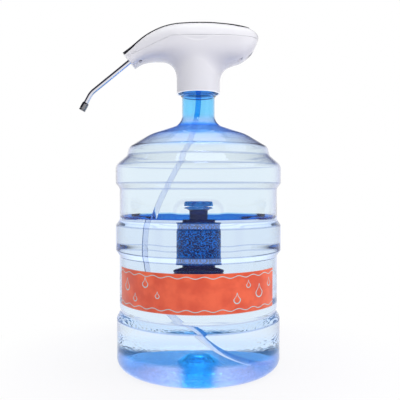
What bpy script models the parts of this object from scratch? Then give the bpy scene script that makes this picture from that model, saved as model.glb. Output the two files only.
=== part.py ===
# Battery water pump standing on the neck of a returnable water bottle. Metres, +Z up.
# Origin: on the table, at the middle of the whole object's box.
# Every piece hangs under an empty on the bottle's upright axis. The spout points to -X.
import math

import bmesh
import bpy
from mathutils import Matrix, Vector

# Chords in round corners
ROUND_ARC = math.radians(33)
COARSE_ARC = math.radians(60)

# Clearances and cutting
MERGE_SHARE = 0.01               # of the gap: corners closer than this are one
LEAST_FILLET_SHARE = 0.1         # of the gap: smaller roundings are left out
FILLET_REACH_SHARE = 0.49        # of an edge, the most that one rounding takes
GAP = 0.0003                     # between pieces that touch
OVERRUN = 0.004                  # how far a cut runs past its face
PLASTIC_WALL = 0.0024            # pump housing wall

# Bottle: radii are given by the widest band and the depths that are drawn in from it
BOTTLE_RADIUS = 0.135
BOTTLE_WALL = 0.0016
WAIST_DEPTH = 0.0063             # between the two upper bands
PANEL_DEPTH = 0.0060             # where the label sits
GROOVE_DEPTH = 0.0085            # under the label panel
BASE_DEPTH = 0.0015
COLLAR_FOOT_DEPTH = 0.0180
COLLAR_TOP_DEPTH = 0.0215
DOME_DEPTH = 0.0550
NECK_RADIUS = 0.0269
NECK_RING_LIP = 0.0019
MOUTH_LIP = 0.0009

# Bottle: heights, stacked from the table up
BASE_BAND_HEIGHT = 0.081
GROOVE_RISE = 0.012
GROOVE_LIP = 0.0055
PANEL_HEIGHT = 0.083
STEP_RISE = 0.009
SECOND_BAND_HEIGHT = 0.0405
WAIST_HEIGHT = 0.0495
UPPER_BAND_HEIGHT = 0.029
COLLAR_RISE = 0.0155
COLLAR_HEIGHT = 0.014
DOME_RISE = 0.0205
NECK_FOOT_RISE = 0.017
NECK_LENGTH = 0.046
NECK_RING_THICKNESS = 0.0035
NECK_FINISH_HEIGHT = 0.043
MOUTH_LIP_HEIGHT = 0.009

# Bottle: roundings and the foot
BASE_CORNER = 0.0335
REST_RING_WIDTH = 0.008
PUNT_SLOPE_WIDTH = 0.014
PUNT_HEIGHT = 0.012
PUNT_BOSS_RADIUS = 0.022
PUNT_BOSS_SLOPE = 0.010
PUNT_BOSS_HEIGHT = 0.012
BAND_FILLET = 0.006
GROOVE_FILLET = 0.003
COLLAR_FILLET = 0.008
SHOULDER_FILLET = 0.014
DOME_FILLET = 0.060
NECK_FILLET = 0.018
LIP_FILLET = 0.001
PUNT_FILLET = 0.005
BOTTLE_SIDES = 28

# Moulded-in grip at the back of the bottle
GRIP_POCKET_WIDTH = 0.086
GRIP_POCKET_HEIGHT = 0.128
GRIP_POCKET_DEPTH = 0.052
GRIP_POCKET_CORNER = 0.016
GRIP_POCKET_FLOOR = 0.136        # height above the table
GRIP_BAR_RADIUS = 0.0125
GRIP_BAR_INSET = 0.020           # bar centre behind the widest band
GRIP_SLEEVE_RADIUS = 0.0180
GRIP_SLEEVE_HEIGHT = 0.066
GRIP_SLEEVE_CORNER = 0.004
GRIP_SIDES = 12

# Label
LABEL_HEIGHT = 0.059
LABEL_THICKNESS = 0.0003
LABEL_LEFT_ANGLE = math.radians(68)
LABEL_RIGHT_ANGLE = math.radians(65)
LABEL_RISE = 0.010               # above the foot of its panel

# Pump head: a loft along X, with rows of (place, underside, top, half width)
NOSE_REACH = 0.128               # in front of the bottle's axis, before the nose is cut
TAIL_REACH = 0.098
HEAD_SINK = 0.017                # from the bottle's mouth down to the loft's lowest row
CROWN_RISE = 0.0272              # from the parting line up to the crown
HEAD_HALF_WIDTH = 0.038
HEAD_SQUARENESS = 2.5            # exponent of the sections
HEAD_SHARES = (
    (0.000, 0.000, 0.420, 0.50),
    (0.080, 0.145, 0.568, 0.55),
    (0.146, 0.265, 0.703, 0.63),
    (0.212, 0.314, 0.814, 0.73),
    (0.301, 0.323, 0.917, 0.85),
    (0.389, 0.312, 0.973, 0.935),
    (0.478, 0.278, 0.993, 0.985),
    (0.566, 0.256, 1.000, 1.000),
    (0.655, 0.244, 0.998, 1.000),
    (0.743, 0.239, 0.981, 0.985),
    (0.810, 0.250, 0.964, 0.945),
    (0.876, 0.298, 0.937, 0.855),
    (0.929, 0.389, 0.906, 0.710),
    (0.965, 0.497, 0.862, 0.540),
    (0.987, 0.615, 0.816, 0.350),
    (1.000, 0.705, 0.775, 0.140),
)
HEAD_STEPS = 1                   # loft rows between two rows of the table
HEAD_SIDES = 20
PARTING_CLEARANCE = 0.0045       # between the pump and the parting line
PARTING_FRONT = 0.042            # where the parting line starts to fall to the nose
PARTING_NOSE_DROP = 0.034

# Skirt over the bottle's neck
SLEEVE_THICKNESS = 0.0046        # soft sleeve between neck and skirt
SKIRT_WALL = 0.0025
SKIRT_RADIUS = NECK_RADIUS + MOUTH_LIP + SLEEVE_THICKNESS + 2 * GAP + SKIRT_WALL
SKIRT_DROP = 0.042               # below the bottle's mouth
SKIRT_FLARE_DROP = 0.018         # the flare starts this far below the mouth
SKIRT_FLARE_REAR = 0.022
SKIRT_FLARE_FRONT = 0.025
SKIRT_HEAD = 0.020               # the skirt's form ends this far below the parting line
SKIRT_SIDES = 24
SKIRT_FLARE_STEPS = 4
DECK_THICKNESS = 0.0045
MOUTH_SEAT = 0.0018              # sleeve flange and its gaps, between mouth and deck

# Top panel and button
PANEL_SETBACK_FRONT = 0.0035
PANEL_SETBACK_REAR = 0.014
PANEL_FRONT = NOSE_REACH - PANEL_SETBACK_FRONT
PANEL_REAR = TAIL_REACH - PANEL_SETBACK_REAR
PANEL_PROUD = 0.0008
PANEL_THICKNESS = 0.0020
PANEL_HALF_WIDTH = 0.022
PANEL_NOSE_SHARE = 0.60
PANEL_OVERHANG = 0.001           # past the nose face, before that trims it
PANEL_TAIL_SHARE = 0.10          # narrowest end of the strip
PANEL_SEAT_CLEARANCE = 0.00045
PANEL_SIDES = 6
PANEL_ROWS = 15
BUTTON_PLACE = 0.014
BUTTON_RADIUS = 0.0080
BUTTON_CAP_THICKNESS = 0.0040
BUTTON_PROUD = 0.0012
BUTTON_DISH = 0.0003
BUTTON_DISH_SHARE = 0.7          # of the cap's radius
BUTTON_FILLET = 0.0006
BUTTON_TRAVEL = 0.0012
BUTTON_STEM_RADIUS = 0.0022
BUTTON_CLEARANCE = 0.0004
LENS_PLACE = 0.034
LENS_LENGTH = 0.012
LENS_WIDTH = 0.003
LENS_THICKNESS = 0.0045

# Nose and spout
SPOUT_FALL = math.radians(39)    # below level
NOSE_CUT = 0.015                 # from the loft's tip back to the middle of the nose face
NOSE_FACE_RISE = 0.028           # above the loft's lowest row
NOSE_FACE_X = NOSE_REACH - NOSE_CUT
NOSE_WALL = 0.003
SPOUT_RADIUS = 0.004
SPOUT_WALL = 0.0006
SPOUT_INSERT = 0.014             # inside its socket
SPOUT_STRAIGHT = 0.0755
SPOUT_BEND = math.radians(22.5)
SPOUT_BEND_RADIUS = 0.030
SPOUT_LAST = 0.0265
TIP_RADIUS = 0.0055
TIP_LENGTH = 0.0145
TIP_FILLET = 0.0010
TIP_LIP = 0.0008
SPOUT_SIDES = 12
SOCKET_RADIUS = 0.0070
SOCKET_LENGTH = 0.020
SOCKET_BORE = 0.00175
SEAL_RADIUS = 0.0012             # section of the ring in the nose
SEAL_GROOVE = 0.0045             # from the nose face to the ring's middle
BARB_RADIUS = 0.0030
BARB_LENGTH = 0.010
BARB_COVER_SHARE = 0.8           # of the barb, under the hose
SEAL_SIDES = 8
SPOUT_BEND_STEPS = 4

# Screws between the two housing halves
SCREW_SETBACK_FRONT = 0.034      # behind the loft's tip
SCREW_SETBACK_REAR = 0.030       # in front of the tail
SCREW_SPREAD_FRONT = 0.0125
SCREW_SPREAD_REAR = 0.0170
SCREW_SHANK_RADIUS = 0.0014
SCREW_HEAD_RADIUS = 0.0027
SCREW_HEAD_HEIGHT = 0.0020
SCREW_DRIVE_DEPTH = 0.0007
SCREW_ENGAGE = 0.008
SCREW_POCKET_DEPTH = 0.006       # above the housing's underside at the screw
SCREW_POCKET_RADIUS = 0.0033
BOSS_RADIUS = 0.0050
PLUG_THICKNESS = 0.0022
SCREW_SIDES = 10

# Neck sleeve
SLEEVE_FLANGE_BORE = 0.0215
SLEEVE_RIB = 0.0006
SLEEVE_RIB_SLOPE = 0.0012
SLEEVE_RIB_COUNT = 3
SLEEVE_LENGTH = 0.036

# Pump unit, its axis along X
PUMP_Y = -0.0175
PUMP_FOOT = 0.0072               # between the deck and the pump
MOTOR_RADIUS = 0.0122
MOTOR_FRONT = 0.0060
MOTOR_LENGTH = 0.0300
MOTOR_CAP_LENGTH = 0.0022
MOTOR_FLAT = 0.0092              # half width over the can's flats
MOTOR_BORE_DEPTH = 0.0080
MOTOR_HUB_RADIUS = 0.0031
TERMINAL_THICKNESS = 0.0007
TERMINAL_LENGTH = 0.0044
TERMINAL_REACH = 0.0033          # of its middle, behind the can
SHAFT_RADIUS = 0.0010
SHAFT_LENGTH = 0.0210
SHAFT_CLEARANCE = 0.0004
ECCENTRIC_RADIUS = 0.0060
ECCENTRIC_THROW = 0.0012
ECCENTRIC_THICKNESS = 0.0045
ECCENTRIC_SETBACK = 0.0035       # from the case's motor wall
CASE_RADIUS = 0.0135
CASE_WALL = 0.0016
CASE_LENGTH = 0.0180
CASE_BORE = 0.0045
SWASH_RADIUS = 0.0085
SWASH_THICKNESS = 0.0020
DIAPHRAGM_THICKNESS = 0.0016
DIAPHRAGM_CUP_RADIUS = 0.0030
DIAPHRAGM_CUP_DEPTH = 0.0026
DIAPHRAGM_CUP_RING = 0.0062
DIAPHRAGM_CUPS = 3
VALVE_HEAD_LENGTH = 0.0090
NIPPLE_RADIUS = 0.0024
NIPPLE_LENGTH = 0.0060
NIPPLE_SPREAD = 0.0060
NIPPLE_BORE = 0.0013
PUMP_SIDES = 16

# Battery, board and charging socket
CELL_RADIUS = 0.0092
CELL_LENGTH = 0.0650
CELL_Y = 0.0170
CELL_FOOT = 0.0040               # between the deck and the cell
CELL_FRONT = 0.0240
CELL_CROWN = 0.0012
CELL_POLE_RADIUS = 0.0032
CELL_POLE_HEIGHT = 0.0010
CRADLE_THICKNESS = 0.0024
CRADLE_FRONT = 0.0190
CRADLE_REAR = 0.0200
CRADLE_HALF_WIDTH = 0.0290
BOARD_FRONT = 0.020
BOARD_LENGTH = 0.062
BOARD_WIDTH = 0.030
BOARD_THICKNESS = 0.0016
BOARD_RISE = 0.0070              # above the parting line
BOARD_POST_RADIUS = 0.0025
BOARD_POST_INSET = 0.0040
SWITCH_WIDTH = 0.0060
SWITCH_HEIGHT = 0.0035
SWITCH_PLUNGER_RADIUS = 0.0017
SWITCH_PLUNGER_HEIGHT = 0.0010
PORT_SETBACK_X = 0.0135          # in front of the tail's end, on its underside
PORT_HEIGHT = 0.0120
PORT_WIDTH = 0.0180
PORT_RECESS = 0.0030
PORT_BULGE = 0.0008
PORT_SETBACK = 0.0004
PORT_DOME_SHARES = (0.86, 0.5)   # outlines of the cover's outer face
PORT_CORNER_STEPS = 5
USB_WIDTH = 0.0090
USB_HEIGHT = 0.0034
USB_DEPTH = 0.0074
USB_WALL = 0.0005
USB_BOSS_WALL = 0.0018
USB_FLOOR = 0.0015
USB_TONGUE = 0.0007
USB_TONGUE_SHARE = 0.8           # of the socket's depth

# Hoses
SUCTION_HOSE_RADIUS = 0.0045
INLET_DROP = 0.0015              # below the deck, where the suction hose meets its fitting
SMALL_HOSE_RADIUS = 0.0042
SMALL_HOSE_BORE = 0.0028
INLET_FLANGE_RADIUS = 0.0075
INLET_FLANGE = 0.0018
INLET_PIPE_RADIUS = 0.0040
INLET_BORE = 0.0022
INLET_RISE = 0.0060
SMALL_HOSE_SPACING = 0.0076
# Turns of the two short hoses: along X and up in hose widths, across as a share of the way to the next lane
INLET_RISE_SHARES = ((0, 0, 0.2), (0.3, 0.5, 0.75), (1.4, 1, 0.8))
INLET_TURN_SHARES = (0.3, 1, 0.7)
INLET_RETURN_SHARES = ((1.6, 0.25, 0), (1.9, 0.75, 0), (1.2, 1, 0))
OUTLET_LEAD_SHARE = 0.6          # of the barb's length, straight on from it
OUTLET_RISE_SHARES = (1.6, 0.3, 0.9)
OUTLET_RUN_SHARES = ((3, 0.8, 0.2), (1.2, 1, 0))
HOSE_SIDES = 8
# From its fitting the suction hose hangs in the bottle, swings to the front left and ends low at the right
SUCTION_ROUTE = (
    (0.000, 0.000, 0.4600),
    (0.000, 0.000, 0.4330),
    (-0.003, -0.001, 0.4060),
    (-0.012, -0.003, 0.3740),
    (-0.025, -0.008, 0.3440),
    (-0.038, -0.018, 0.3170),
    (-0.051, -0.034, 0.2900),
    (-0.062, -0.052, 0.2640),
    (-0.070, -0.067, 0.2360),
    (-0.074, -0.077, 0.2050),
    (-0.073, -0.083, 0.1740),
    (-0.066, -0.086, 0.1440),
    (-0.050, -0.088, 0.1160),
    (-0.027, -0.087, 0.0920),
    (0.000, -0.080, 0.0700),
    (0.026, -0.068, 0.0460),
    (0.052, -0.053, 0.0280),
    (0.076, -0.037, 0.0155),
    (0.099, -0.020, 0.0095),
)
HOSE_POINT_SPACING = 0.0225


# Scene and materials

def clear_scene():
    for thing in list(bpy.data.objects):
        bpy.data.objects.remove(thing)


def finish(name, colour, roughness, metallic=0.0, alpha=1.0):
    material = bpy.data.materials.new(name)
    material.use_nodes = True
    shader = material.node_tree.nodes["Principled BSDF"]
    shader.inputs["Base Color"].default_value = (*colour, 1.0)
    shader.inputs["Roughness"].default_value = roughness
    shader.inputs["Metallic"].default_value = metallic
    shader.inputs["Alpha"].default_value = alpha
    return material


# Shape helpers

def add_empty(name, place, parent=None):
    empty = bpy.data.objects.new(name, None)
    empty.location = place
    empty.parent = parent
    bpy.context.collection.objects.link(empty)
    return empty


def add_piece(name, bm, material, parent, place=(0, 0, 0), turn=None, guide=False):
    """Makes an object from a bmesh, with its faces pointing out and round parts smooth."""
    bmesh.ops.remove_doubles(bm, verts=bm.verts, dist=GAP * MERGE_SHARE)
    bmesh.ops.recalc_face_normals(bm, faces=bm.faces)
    mesh = bpy.data.meshes.new(name)
    bm.to_mesh(mesh)
    bm.free()
    mesh.shade_smooth()
    mesh.set_sharp_from_angle(angle=math.radians(35))
    piece = bpy.data.objects.new(name, mesh)
    if material is not None:
        mesh.materials.append(material)
    piece.parent = parent
    piece.location = place
    if turn is not None:
        piece.rotation_euler = turn
    bpy.context.collection.objects.link(piece)
    if guide:
        piece.hide_render = True
        piece.display_type = "WIRE"
    return piece


def boolean(piece, other, operation):
    step = piece.modifiers.new(operation.title(), "BOOLEAN")
    step.operation = operation
    step.object = other
    step.solver = "EXACT"


def cut(piece, *cutters):
    for cutter in cutters:
        boolean(piece, cutter, "DIFFERENCE")


def join(piece, *others):
    for other in others:
        boolean(piece, other, "UNION")


def rounded(corners, arc=ROUND_ARC):
    """Turns (a, b, fillet) corners into an outline, each fillet an arc no longer than its sides allow.
    An arc gets a chord for about every so much of turn."""
    points = []
    for i, (a, b, fillet) in enumerate(corners):
        here = Vector((a, b))
        if fillet == 0 or i in (0, len(corners) - 1):
            points.append((a, b))
            continue
        before = Vector(corners[i - 1][:2]) - here
        after = Vector(corners[i + 1][:2]) - here
        half = before.angle(after) / 2
        reach = min(fillet / math.tan(half), FILLET_REACH_SHARE * min(before.length, after.length))
        radius = reach * math.tan(half)
        middle = here + (before.normalized() + after.normalized()).normalized() * radius / math.sin(half)
        first = here + before.normalized() * reach - middle
        sweep = first.angle_signed(here + after.normalized() * reach - middle)
        steps = max(round(abs(sweep) / arc), 1)
        for k in range(steps + 1):
            turned = first.copy()
            turned.rotate(Matrix.Rotation(-sweep * k / steps, 2))
            points.append(tuple(middle + turned))
    return points


def inset(corners, depth):
    """Moves every corner of an open outline inwards by the wall, to the right of its direction."""
    moved = []
    for i, (a, b, fillet) in enumerate(corners):
        here = Vector((a, b))
        before = here - Vector(corners[i - 1][:2]) if i > 0 else None
        after = Vector(corners[i + 1][:2]) - here if i < len(corners) - 1 else None
        before = before.normalized() if before else after.normalized()
        after = after.normalized() if after else before
        side = (Vector((before.y, -before.x)) + Vector((after.y, -after.x))).normalized()
        stretch = side.dot(Vector((before.y, -before.x)))
        turn = before.x * after.y - before.y * after.x
        inner = max(fillet + math.copysign(depth, turn), 0) if fillet else 0
        shifted = here + side * depth / stretch
        moved.append((max(shifted.x, 0), shifted.y, inner))
    return moved


def revolve(outline, sides, closed=True):
    """Turns an outline of (radius, height) about Z. A flat end is one face, others on the axis are poles."""
    bm = bmesh.new()
    rings = []
    for radius, height in outline:
        if radius < GAP * LEAST_FILLET_SHARE:
            rings.append([bm.verts.new((0, 0, height))])
            continue
        rings.append([
            bm.verts.new((
                radius * math.cos(math.tau * k / sides),
                radius * math.sin(math.tau * k / sides),
                height,
            ))
            for k in range(sides)
        ])
    pairs = list(zip(rings, rings[1:]))
    if closed:
        pairs.append((rings[-1], rings[0]))
    for low, high in pairs:
        if len(low) == 1 and len(high) == 1:
            continue
        if 1 in (len(low), len(high)) and abs(low[0].co.z - high[0].co.z) < GAP * MERGE_SHARE:
            bm.faces.new(low if len(high) == 1 else high)
            continue
        for k in range(sides):
            after = (k + 1) % sides
            corners = [low[k % len(low)], low[after % len(low)], high[after % len(high)], high[k % len(high)]]
            kept = []
            for corner in corners:
                if corner not in kept:
                    kept.append(corner)
            bm.faces.new(kept)
    bmesh.ops.delete(bm, geom=[v for v in bm.verts if not v.link_faces], context="VERTS")
    return bm


def loft(rings):
    """Joins rings of as many points each into one closed body with flat ends."""
    bm = bmesh.new()
    rows = [[bm.verts.new(point) for point in ring] for ring in rings]
    count = len(rows[0])
    for low, high in zip(rows, rows[1:]):
        for k in range(count):
            after = (k + 1) % count
            bm.faces.new((low[k], low[after], high[after], high[k]))
    bm.faces.new(rows[0])
    bm.faces.new(rows[-1])
    return bm


def disc(radius, low, high, bore=0, sides=SCREW_SIDES):
    if bore:
        return revolve(((bore, low), (radius, low), (radius, high), (bore, high)), sides)
    return revolve(((0, low), (radius, low), (radius, high), (0, high)), sides, closed=False)


def block(size, centre=(0, 0, 0)):
    bm = bmesh.new()
    bmesh.ops.create_cube(bm, size=1)
    bmesh.ops.scale(bm, vec=size, verts=bm.verts)
    bmesh.ops.translate(bm, vec=centre, verts=bm.verts)
    return bm


def rounded_block(width, height, corner, low, high, steps=3):
    """A plate with round corners, width along X and height along Y, from low to high along Z."""
    a, b = width / 2, height / 2
    outline = []
    for k, (sx, sy) in enumerate(((1, 1), (-1, 1), (-1, -1), (1, -1))):
        for j in range(steps + 1):
            angle = math.pi / 2 * (k + j / steps)
            outline.append((
                sx * (a - corner) + corner * math.cos(angle),
                sy * (b - corner) + corner * math.sin(angle),
            ))
    return loft([[(x, y, z) for x, y in outline] for z in (low, high)])


def ring_frames(path):
    """Tangent and two square directions at each point of a path, carried along without twist."""
    points = [Vector(p) for p in path]
    frames = []
    side = None
    for i, point in enumerate(points):
        before = points[max(i - 1, 0)]
        after = points[min(i + 1, len(points) - 1)]
        tangent = (after - before).normalized()
        if side is None:
            side = tangent.orthogonal().normalized()
        side = (side - tangent * side.dot(tangent)).normalized()
        frames.append((point, side, tangent.cross(side)))
    return frames


def pipe(path, radius, bore, sides):
    """An open pipe along a path."""
    bm = bmesh.new()
    skins = []
    for size in (radius, bore):
        skins.append([
            [
                bm.verts.new(
                    point
                    + side * size * math.cos(math.tau * k / sides)
                    + across * size * math.sin(math.tau * k / sides)
                )
                for k in range(sides)
            ]
            for point, side, across in ring_frames(path)
        ])
    outer, inner = skins
    for skin in skins:
        for low, high in zip(skin, skin[1:]):
            for k in range(sides):
                after = (k + 1) % sides
                bm.faces.new((low[k], low[after], high[after], high[k]))
    for end in (0, -1):
        for k in range(sides):
            after = (k + 1) % sides
            bm.faces.new((outer[end][k], outer[end][after], inner[end][after], inner[end][k]))
    return bm


def spline(points, spacing):
    """Even points along a smooth curve through the given ones."""
    knots = [Vector(p) for p in points]
    ends = [2 * knots[0] - knots[1]] + knots + [2 * knots[-1] - knots[-2]]
    fine = []
    for i in range(1, len(ends) - 2):
        p0, p1, p2, p3 = ends[i - 1:i + 3]
        for k in range(16):
            t = k / 16
            fine.append(0.5 * (
                2 * p1 + (p2 - p0) * t + (2 * p0 - 5 * p1 + 4 * p2 - p3) * t ** 2
                + (3 * p1 - p0 - 3 * p2 + p3) * t ** 3
            ))
    fine.append(knots[-1])
    length = sum((b - a).length for a, b in zip(fine, fine[1:]))
    count = max(round(length / spacing), 2)
    chosen, walked, target = [fine[0]], 0, length / count
    for a, b in zip(fine, fine[1:]):
        step = (b - a).length
        while walked + step >= target and len(chosen) < count:
            chosen.append(a.lerp(b, (target - walked) / step))
            target += length / count
        walked += step
    return chosen + [fine[-1]]


def solid_hose(name, points, radius, material, parent):
    """A solid hose as a bevelled curve with filled ends."""
    curve = bpy.data.curves.new(name, "CURVE")
    curve.dimensions = "3D"
    curve.bevel_depth = radius
    curve.bevel_resolution = 2
    curve.use_fill_caps = True
    line = curve.splines.new("POLY")
    line.points.add(len(points) - 1)
    for knot, point in zip(line.points, points):
        knot.co = (*point, 1)
    curve.materials.append(material)
    hose = bpy.data.objects.new(name, curve)
    hose.parent = parent
    bpy.context.collection.objects.link(hose)
    return hose


# Bottle

def bottle_heights():
    """Heights of the bottle's corners above the table, stacked from its named parts."""
    rises = (
        ("base_top", BASE_BAND_HEIGHT), ("groove", GROOVE_RISE), ("panel_foot", GROOVE_LIP),
        ("panel_top", PANEL_HEIGHT), ("second_foot", STEP_RISE), ("second_top", SECOND_BAND_HEIGHT),
        ("waist_foot", STEP_RISE), ("waist_top", WAIST_HEIGHT), ("upper_foot", STEP_RISE),
        ("upper_top", UPPER_BAND_HEIGHT), ("collar_foot", COLLAR_RISE), ("collar_top", COLLAR_HEIGHT),
        ("dome", DOME_RISE), ("neck_foot", NECK_FOOT_RISE), ("ring_foot", NECK_LENGTH),
        ("ring_top", NECK_RING_THICKNESS), ("mouth", NECK_FINISH_HEIGHT),
    )
    heights, level = {}, 0
    for name, rise in rises:
        level += rise
        heights[name] = level
    return heights


def bottle_corners():
    """Corners of the outer wall from the neck down to the middle of the foot."""
    h = bottle_heights()
    rest_outer = BOTTLE_RADIUS - BASE_DEPTH - BASE_CORNER
    rest_inner = rest_outer - REST_RING_WIDTH
    return [
        (NECK_RADIUS, h["neck_foot"], NECK_FILLET),
        (BOTTLE_RADIUS - DOME_DEPTH, h["dome"], DOME_FILLET),
        (BOTTLE_RADIUS - COLLAR_TOP_DEPTH, h["collar_top"], COLLAR_FILLET),
        (BOTTLE_RADIUS - COLLAR_FOOT_DEPTH, h["collar_foot"], COLLAR_FILLET),
        (BOTTLE_RADIUS, h["upper_top"], SHOULDER_FILLET),
        (BOTTLE_RADIUS, h["upper_foot"], BAND_FILLET),
        (BOTTLE_RADIUS - WAIST_DEPTH, h["waist_top"], BAND_FILLET),
        (BOTTLE_RADIUS - WAIST_DEPTH, h["waist_foot"], BAND_FILLET),
        (BOTTLE_RADIUS, h["second_top"], BAND_FILLET),
        (BOTTLE_RADIUS, h["second_foot"], BAND_FILLET),
        (BOTTLE_RADIUS - PANEL_DEPTH, h["panel_top"], BAND_FILLET),
        (BOTTLE_RADIUS - PANEL_DEPTH, h["panel_foot"], GROOVE_FILLET),
        (BOTTLE_RADIUS - GROOVE_DEPTH, h["groove"], GROOVE_FILLET),
        (BOTTLE_RADIUS - BASE_DEPTH, h["base_top"], BAND_FILLET),
        (BOTTLE_RADIUS - BASE_DEPTH, 0, BASE_CORNER),
        (rest_inner, 0, 0),
        (rest_inner - PUNT_SLOPE_WIDTH, PUNT_HEIGHT, PUNT_FILLET),
        (PUNT_BOSS_RADIUS, PUNT_HEIGHT, PUNT_FILLET),
        (PUNT_BOSS_RADIUS - PUNT_BOSS_SLOPE, PUNT_HEIGHT + PUNT_BOSS_HEIGHT, PUNT_FILLET),
        (0, PUNT_HEIGHT + PUNT_BOSS_HEIGHT, 0),
    ]


def grip_pocket(grown, parent):
    """The pocket behind the grip, grown by a wall for the inside of the bottle."""
    depth = GRIP_POCKET_DEPTH + grown + OVERRUN
    bm = rounded_block(
        GRIP_POCKET_WIDTH + 2 * grown, GRIP_POCKET_HEIGHT + 2 * grown, GRIP_POCKET_CORNER + grown,
        0, depth,
    )
    place = (0, BOTTLE_RADIUS + OVERRUN, GRIP_POCKET_FLOOR + GRIP_POCKET_HEIGHT / 2)
    return add_piece("pocket_guide", bm, None, parent, place, (math.pi / 2, 0, 0), guide=True)


def make_bottle(parent, material):
    h = bottle_heights()
    corners = bottle_corners()
    lip = NECK_RADIUS + MOUTH_LIP
    ring = NECK_RADIUS + NECK_RING_LIP
    finish_corners = [
        (0, h["mouth"], 0),
        (lip, h["mouth"], LIP_FILLET),
        (lip, h["mouth"] - MOUTH_LIP_HEIGHT, 0),
        (NECK_RADIUS, h["mouth"] - MOUTH_LIP_HEIGHT, 0),
        (NECK_RADIUS, h["ring_top"], 0),
        (ring, h["ring_top"], LIP_FILLET),
        (ring, h["ring_foot"], LIP_FILLET),
        (NECK_RADIUS, h["ring_foot"], 0),
    ]
    outer = rounded(finish_corners + corners)
    bottle = add_piece("bottle", revolve(outer, BOTTLE_SIDES, closed=False), material, parent)

    top = (NECK_RADIUS, h["mouth"] + OVERRUN, 0)
    walls = [
        (a, b, fillet if fillet > BAND_FILLET + BOTTLE_WALL else 0)
        for a, b, fillet in inset([top] + corners, BOTTLE_WALL)
    ]
    inner = [(0, walls[0][1])] + rounded(walls)
    hollow = guide("hollow_guide", revolve(inner, BOTTLE_SIDES, closed=False), parent)

    bar_y = BOTTLE_RADIUS - GRIP_BAR_INSET
    middle = GRIP_POCKET_FLOOR + GRIP_POCKET_HEIGHT / 2
    half = GRIP_POCKET_HEIGHT / 2 + OVERRUN
    sleeve = GRIP_SLEEVE_HEIGHT / 2
    bar_outline = [
        (0, -half), (GRIP_BAR_RADIUS, -half),
        (GRIP_BAR_RADIUS, -sleeve - GRIP_SLEEVE_CORNER), (GRIP_SLEEVE_RADIUS, -sleeve),
        (GRIP_SLEEVE_RADIUS, sleeve), (GRIP_BAR_RADIUS, sleeve + GRIP_SLEEVE_CORNER),
        (GRIP_BAR_RADIUS, half), (0, half),
    ]
    bar = add_piece(
        "grip_guide", revolve(bar_outline, GRIP_SIDES, closed=False), None, parent,
        (0, bar_y, middle), guide=True,
    )
    bore_half = half + OVERRUN
    bore = add_piece(
        "grip_bore_guide",
        disc(GRIP_BAR_RADIUS - BOTTLE_WALL, -bore_half, bore_half, sides=GRIP_SIDES), None, parent,
        (0, bar_y, middle), guide=True,
    )
    cut(hollow, grip_pocket(BOTTLE_WALL, parent))
    join(hollow, bore)
    cut(bottle, grip_pocket(0, parent))
    join(bottle, bar)
    cut(bottle, hollow)
    return bottle


def flat_radius(radius, angle):
    """Distance from the axis to a turned wall's flat at an angle, for a wall whose corners lie at radius."""
    step = math.tau / BOTTLE_SIDES
    return radius * math.cos(step / 2) / math.cos((angle % step) - step / 2)


def make_label(parent, material):
    foot = bottle_heights()["panel_foot"] + LABEL_RISE
    inner = BOTTLE_RADIUS - PANEL_DEPTH + GAP
    start = -math.pi / 2 - LABEL_LEFT_ANGLE
    end = -math.pi / 2 + LABEL_RIGHT_ANGLE
    step = math.tau / BOTTLE_SIDES
    angles = [start]
    angles += [k * step for k in range(math.ceil(start / step), math.ceil(end / step)) if k * step > start]
    angles.append(end)
    rings = []
    for angle in angles:
        low = flat_radius(inner, angle)
        high = flat_radius(inner + LABEL_THICKNESS, angle)
        rings.append([
            (r * math.cos(angle), r * math.sin(angle), z)
            for r, z in ((low, 0), (high, 0), (high, LABEL_HEIGHT), (low, LABEL_HEIGHT))
        ])
    return add_piece("label", loft(rings), material, parent, (0, 0, foot))


# Levels in the head, stacked from the bottle's mouth up

def mouth_height():
    return bottle_heights()["mouth"]


def deck_bottom():
    return mouth_height() + MOUTH_SEAT


def deck_top():
    return deck_bottom() + DECK_THICKNESS


def pump_level():
    return deck_top() + PUMP_FOOT + CASE_RADIUS


def cell_level():
    return deck_top() + CELL_FOOT + CELL_RADIUS


def parting_level():
    return pump_level() + CASE_RADIUS + PARTING_CLEARANCE


def board_level():
    return parting_level() + BOARD_RISE


def skirt_bottom():
    return mouth_height() - SKIRT_DROP


def flare_height():
    return mouth_height() - SKIRT_FLARE_DROP


def skirt_top():
    return parting_level() - SKIRT_HEAD


def nose_face():
    return Vector((-NOSE_FACE_X, 0, mouth_height() - HEAD_SINK + NOSE_FACE_RISE))


# Pump head form

def head_row(x):
    """Underside height, top height and half width of the head at a place along X, by a smooth curve."""
    share = (x + NOSE_REACH) / (NOSE_REACH + TAIL_REACH)
    rows = HEAD_SHARES
    i = max(k for k in range(len(rows) - 1) if rows[k][0] <= max(share, 0))
    before, here, after = rows[max(i - 1, 0)], rows[i], rows[i + 1]
    beyond = rows[min(i + 2, len(rows) - 1)]
    span = after[0] - here[0]
    t = (share - here[0]) / span
    values = []
    for k in (1, 2, 3):
        slope_here = (after[k] - before[k]) / (after[0] - before[0]) * span
        slope_after = (beyond[k] - here[k]) / (beyond[0] - here[0]) * span
        values.append(
            here[k] * (2 * t ** 3 - 3 * t ** 2 + 1) + slope_here * (t ** 3 - 2 * t ** 2 + t)
            + after[k] * (3 * t ** 2 - 2 * t ** 3) + slope_after * (t ** 3 - t ** 2)
        )
    floor = mouth_height() - HEAD_SINK
    depth = parting_level() + CROWN_RISE - floor
    return floor + values[0] * depth, floor + values[1] * depth, values[2] * HEAD_HALF_WIDTH


def head_top(x, y):
    """Height of the head's skin over a place."""
    low, high, half_width = head_row(x)
    share = min(abs(y) / half_width, 1)
    return (low + high) / 2 + (high - low) / 2 * (1 - share ** HEAD_SQUARENESS) ** (1 / HEAD_SQUARENESS)


def head_underside(x, y):
    low, high, _ = head_row(x)
    return low + high - head_top(x, y)


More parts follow.
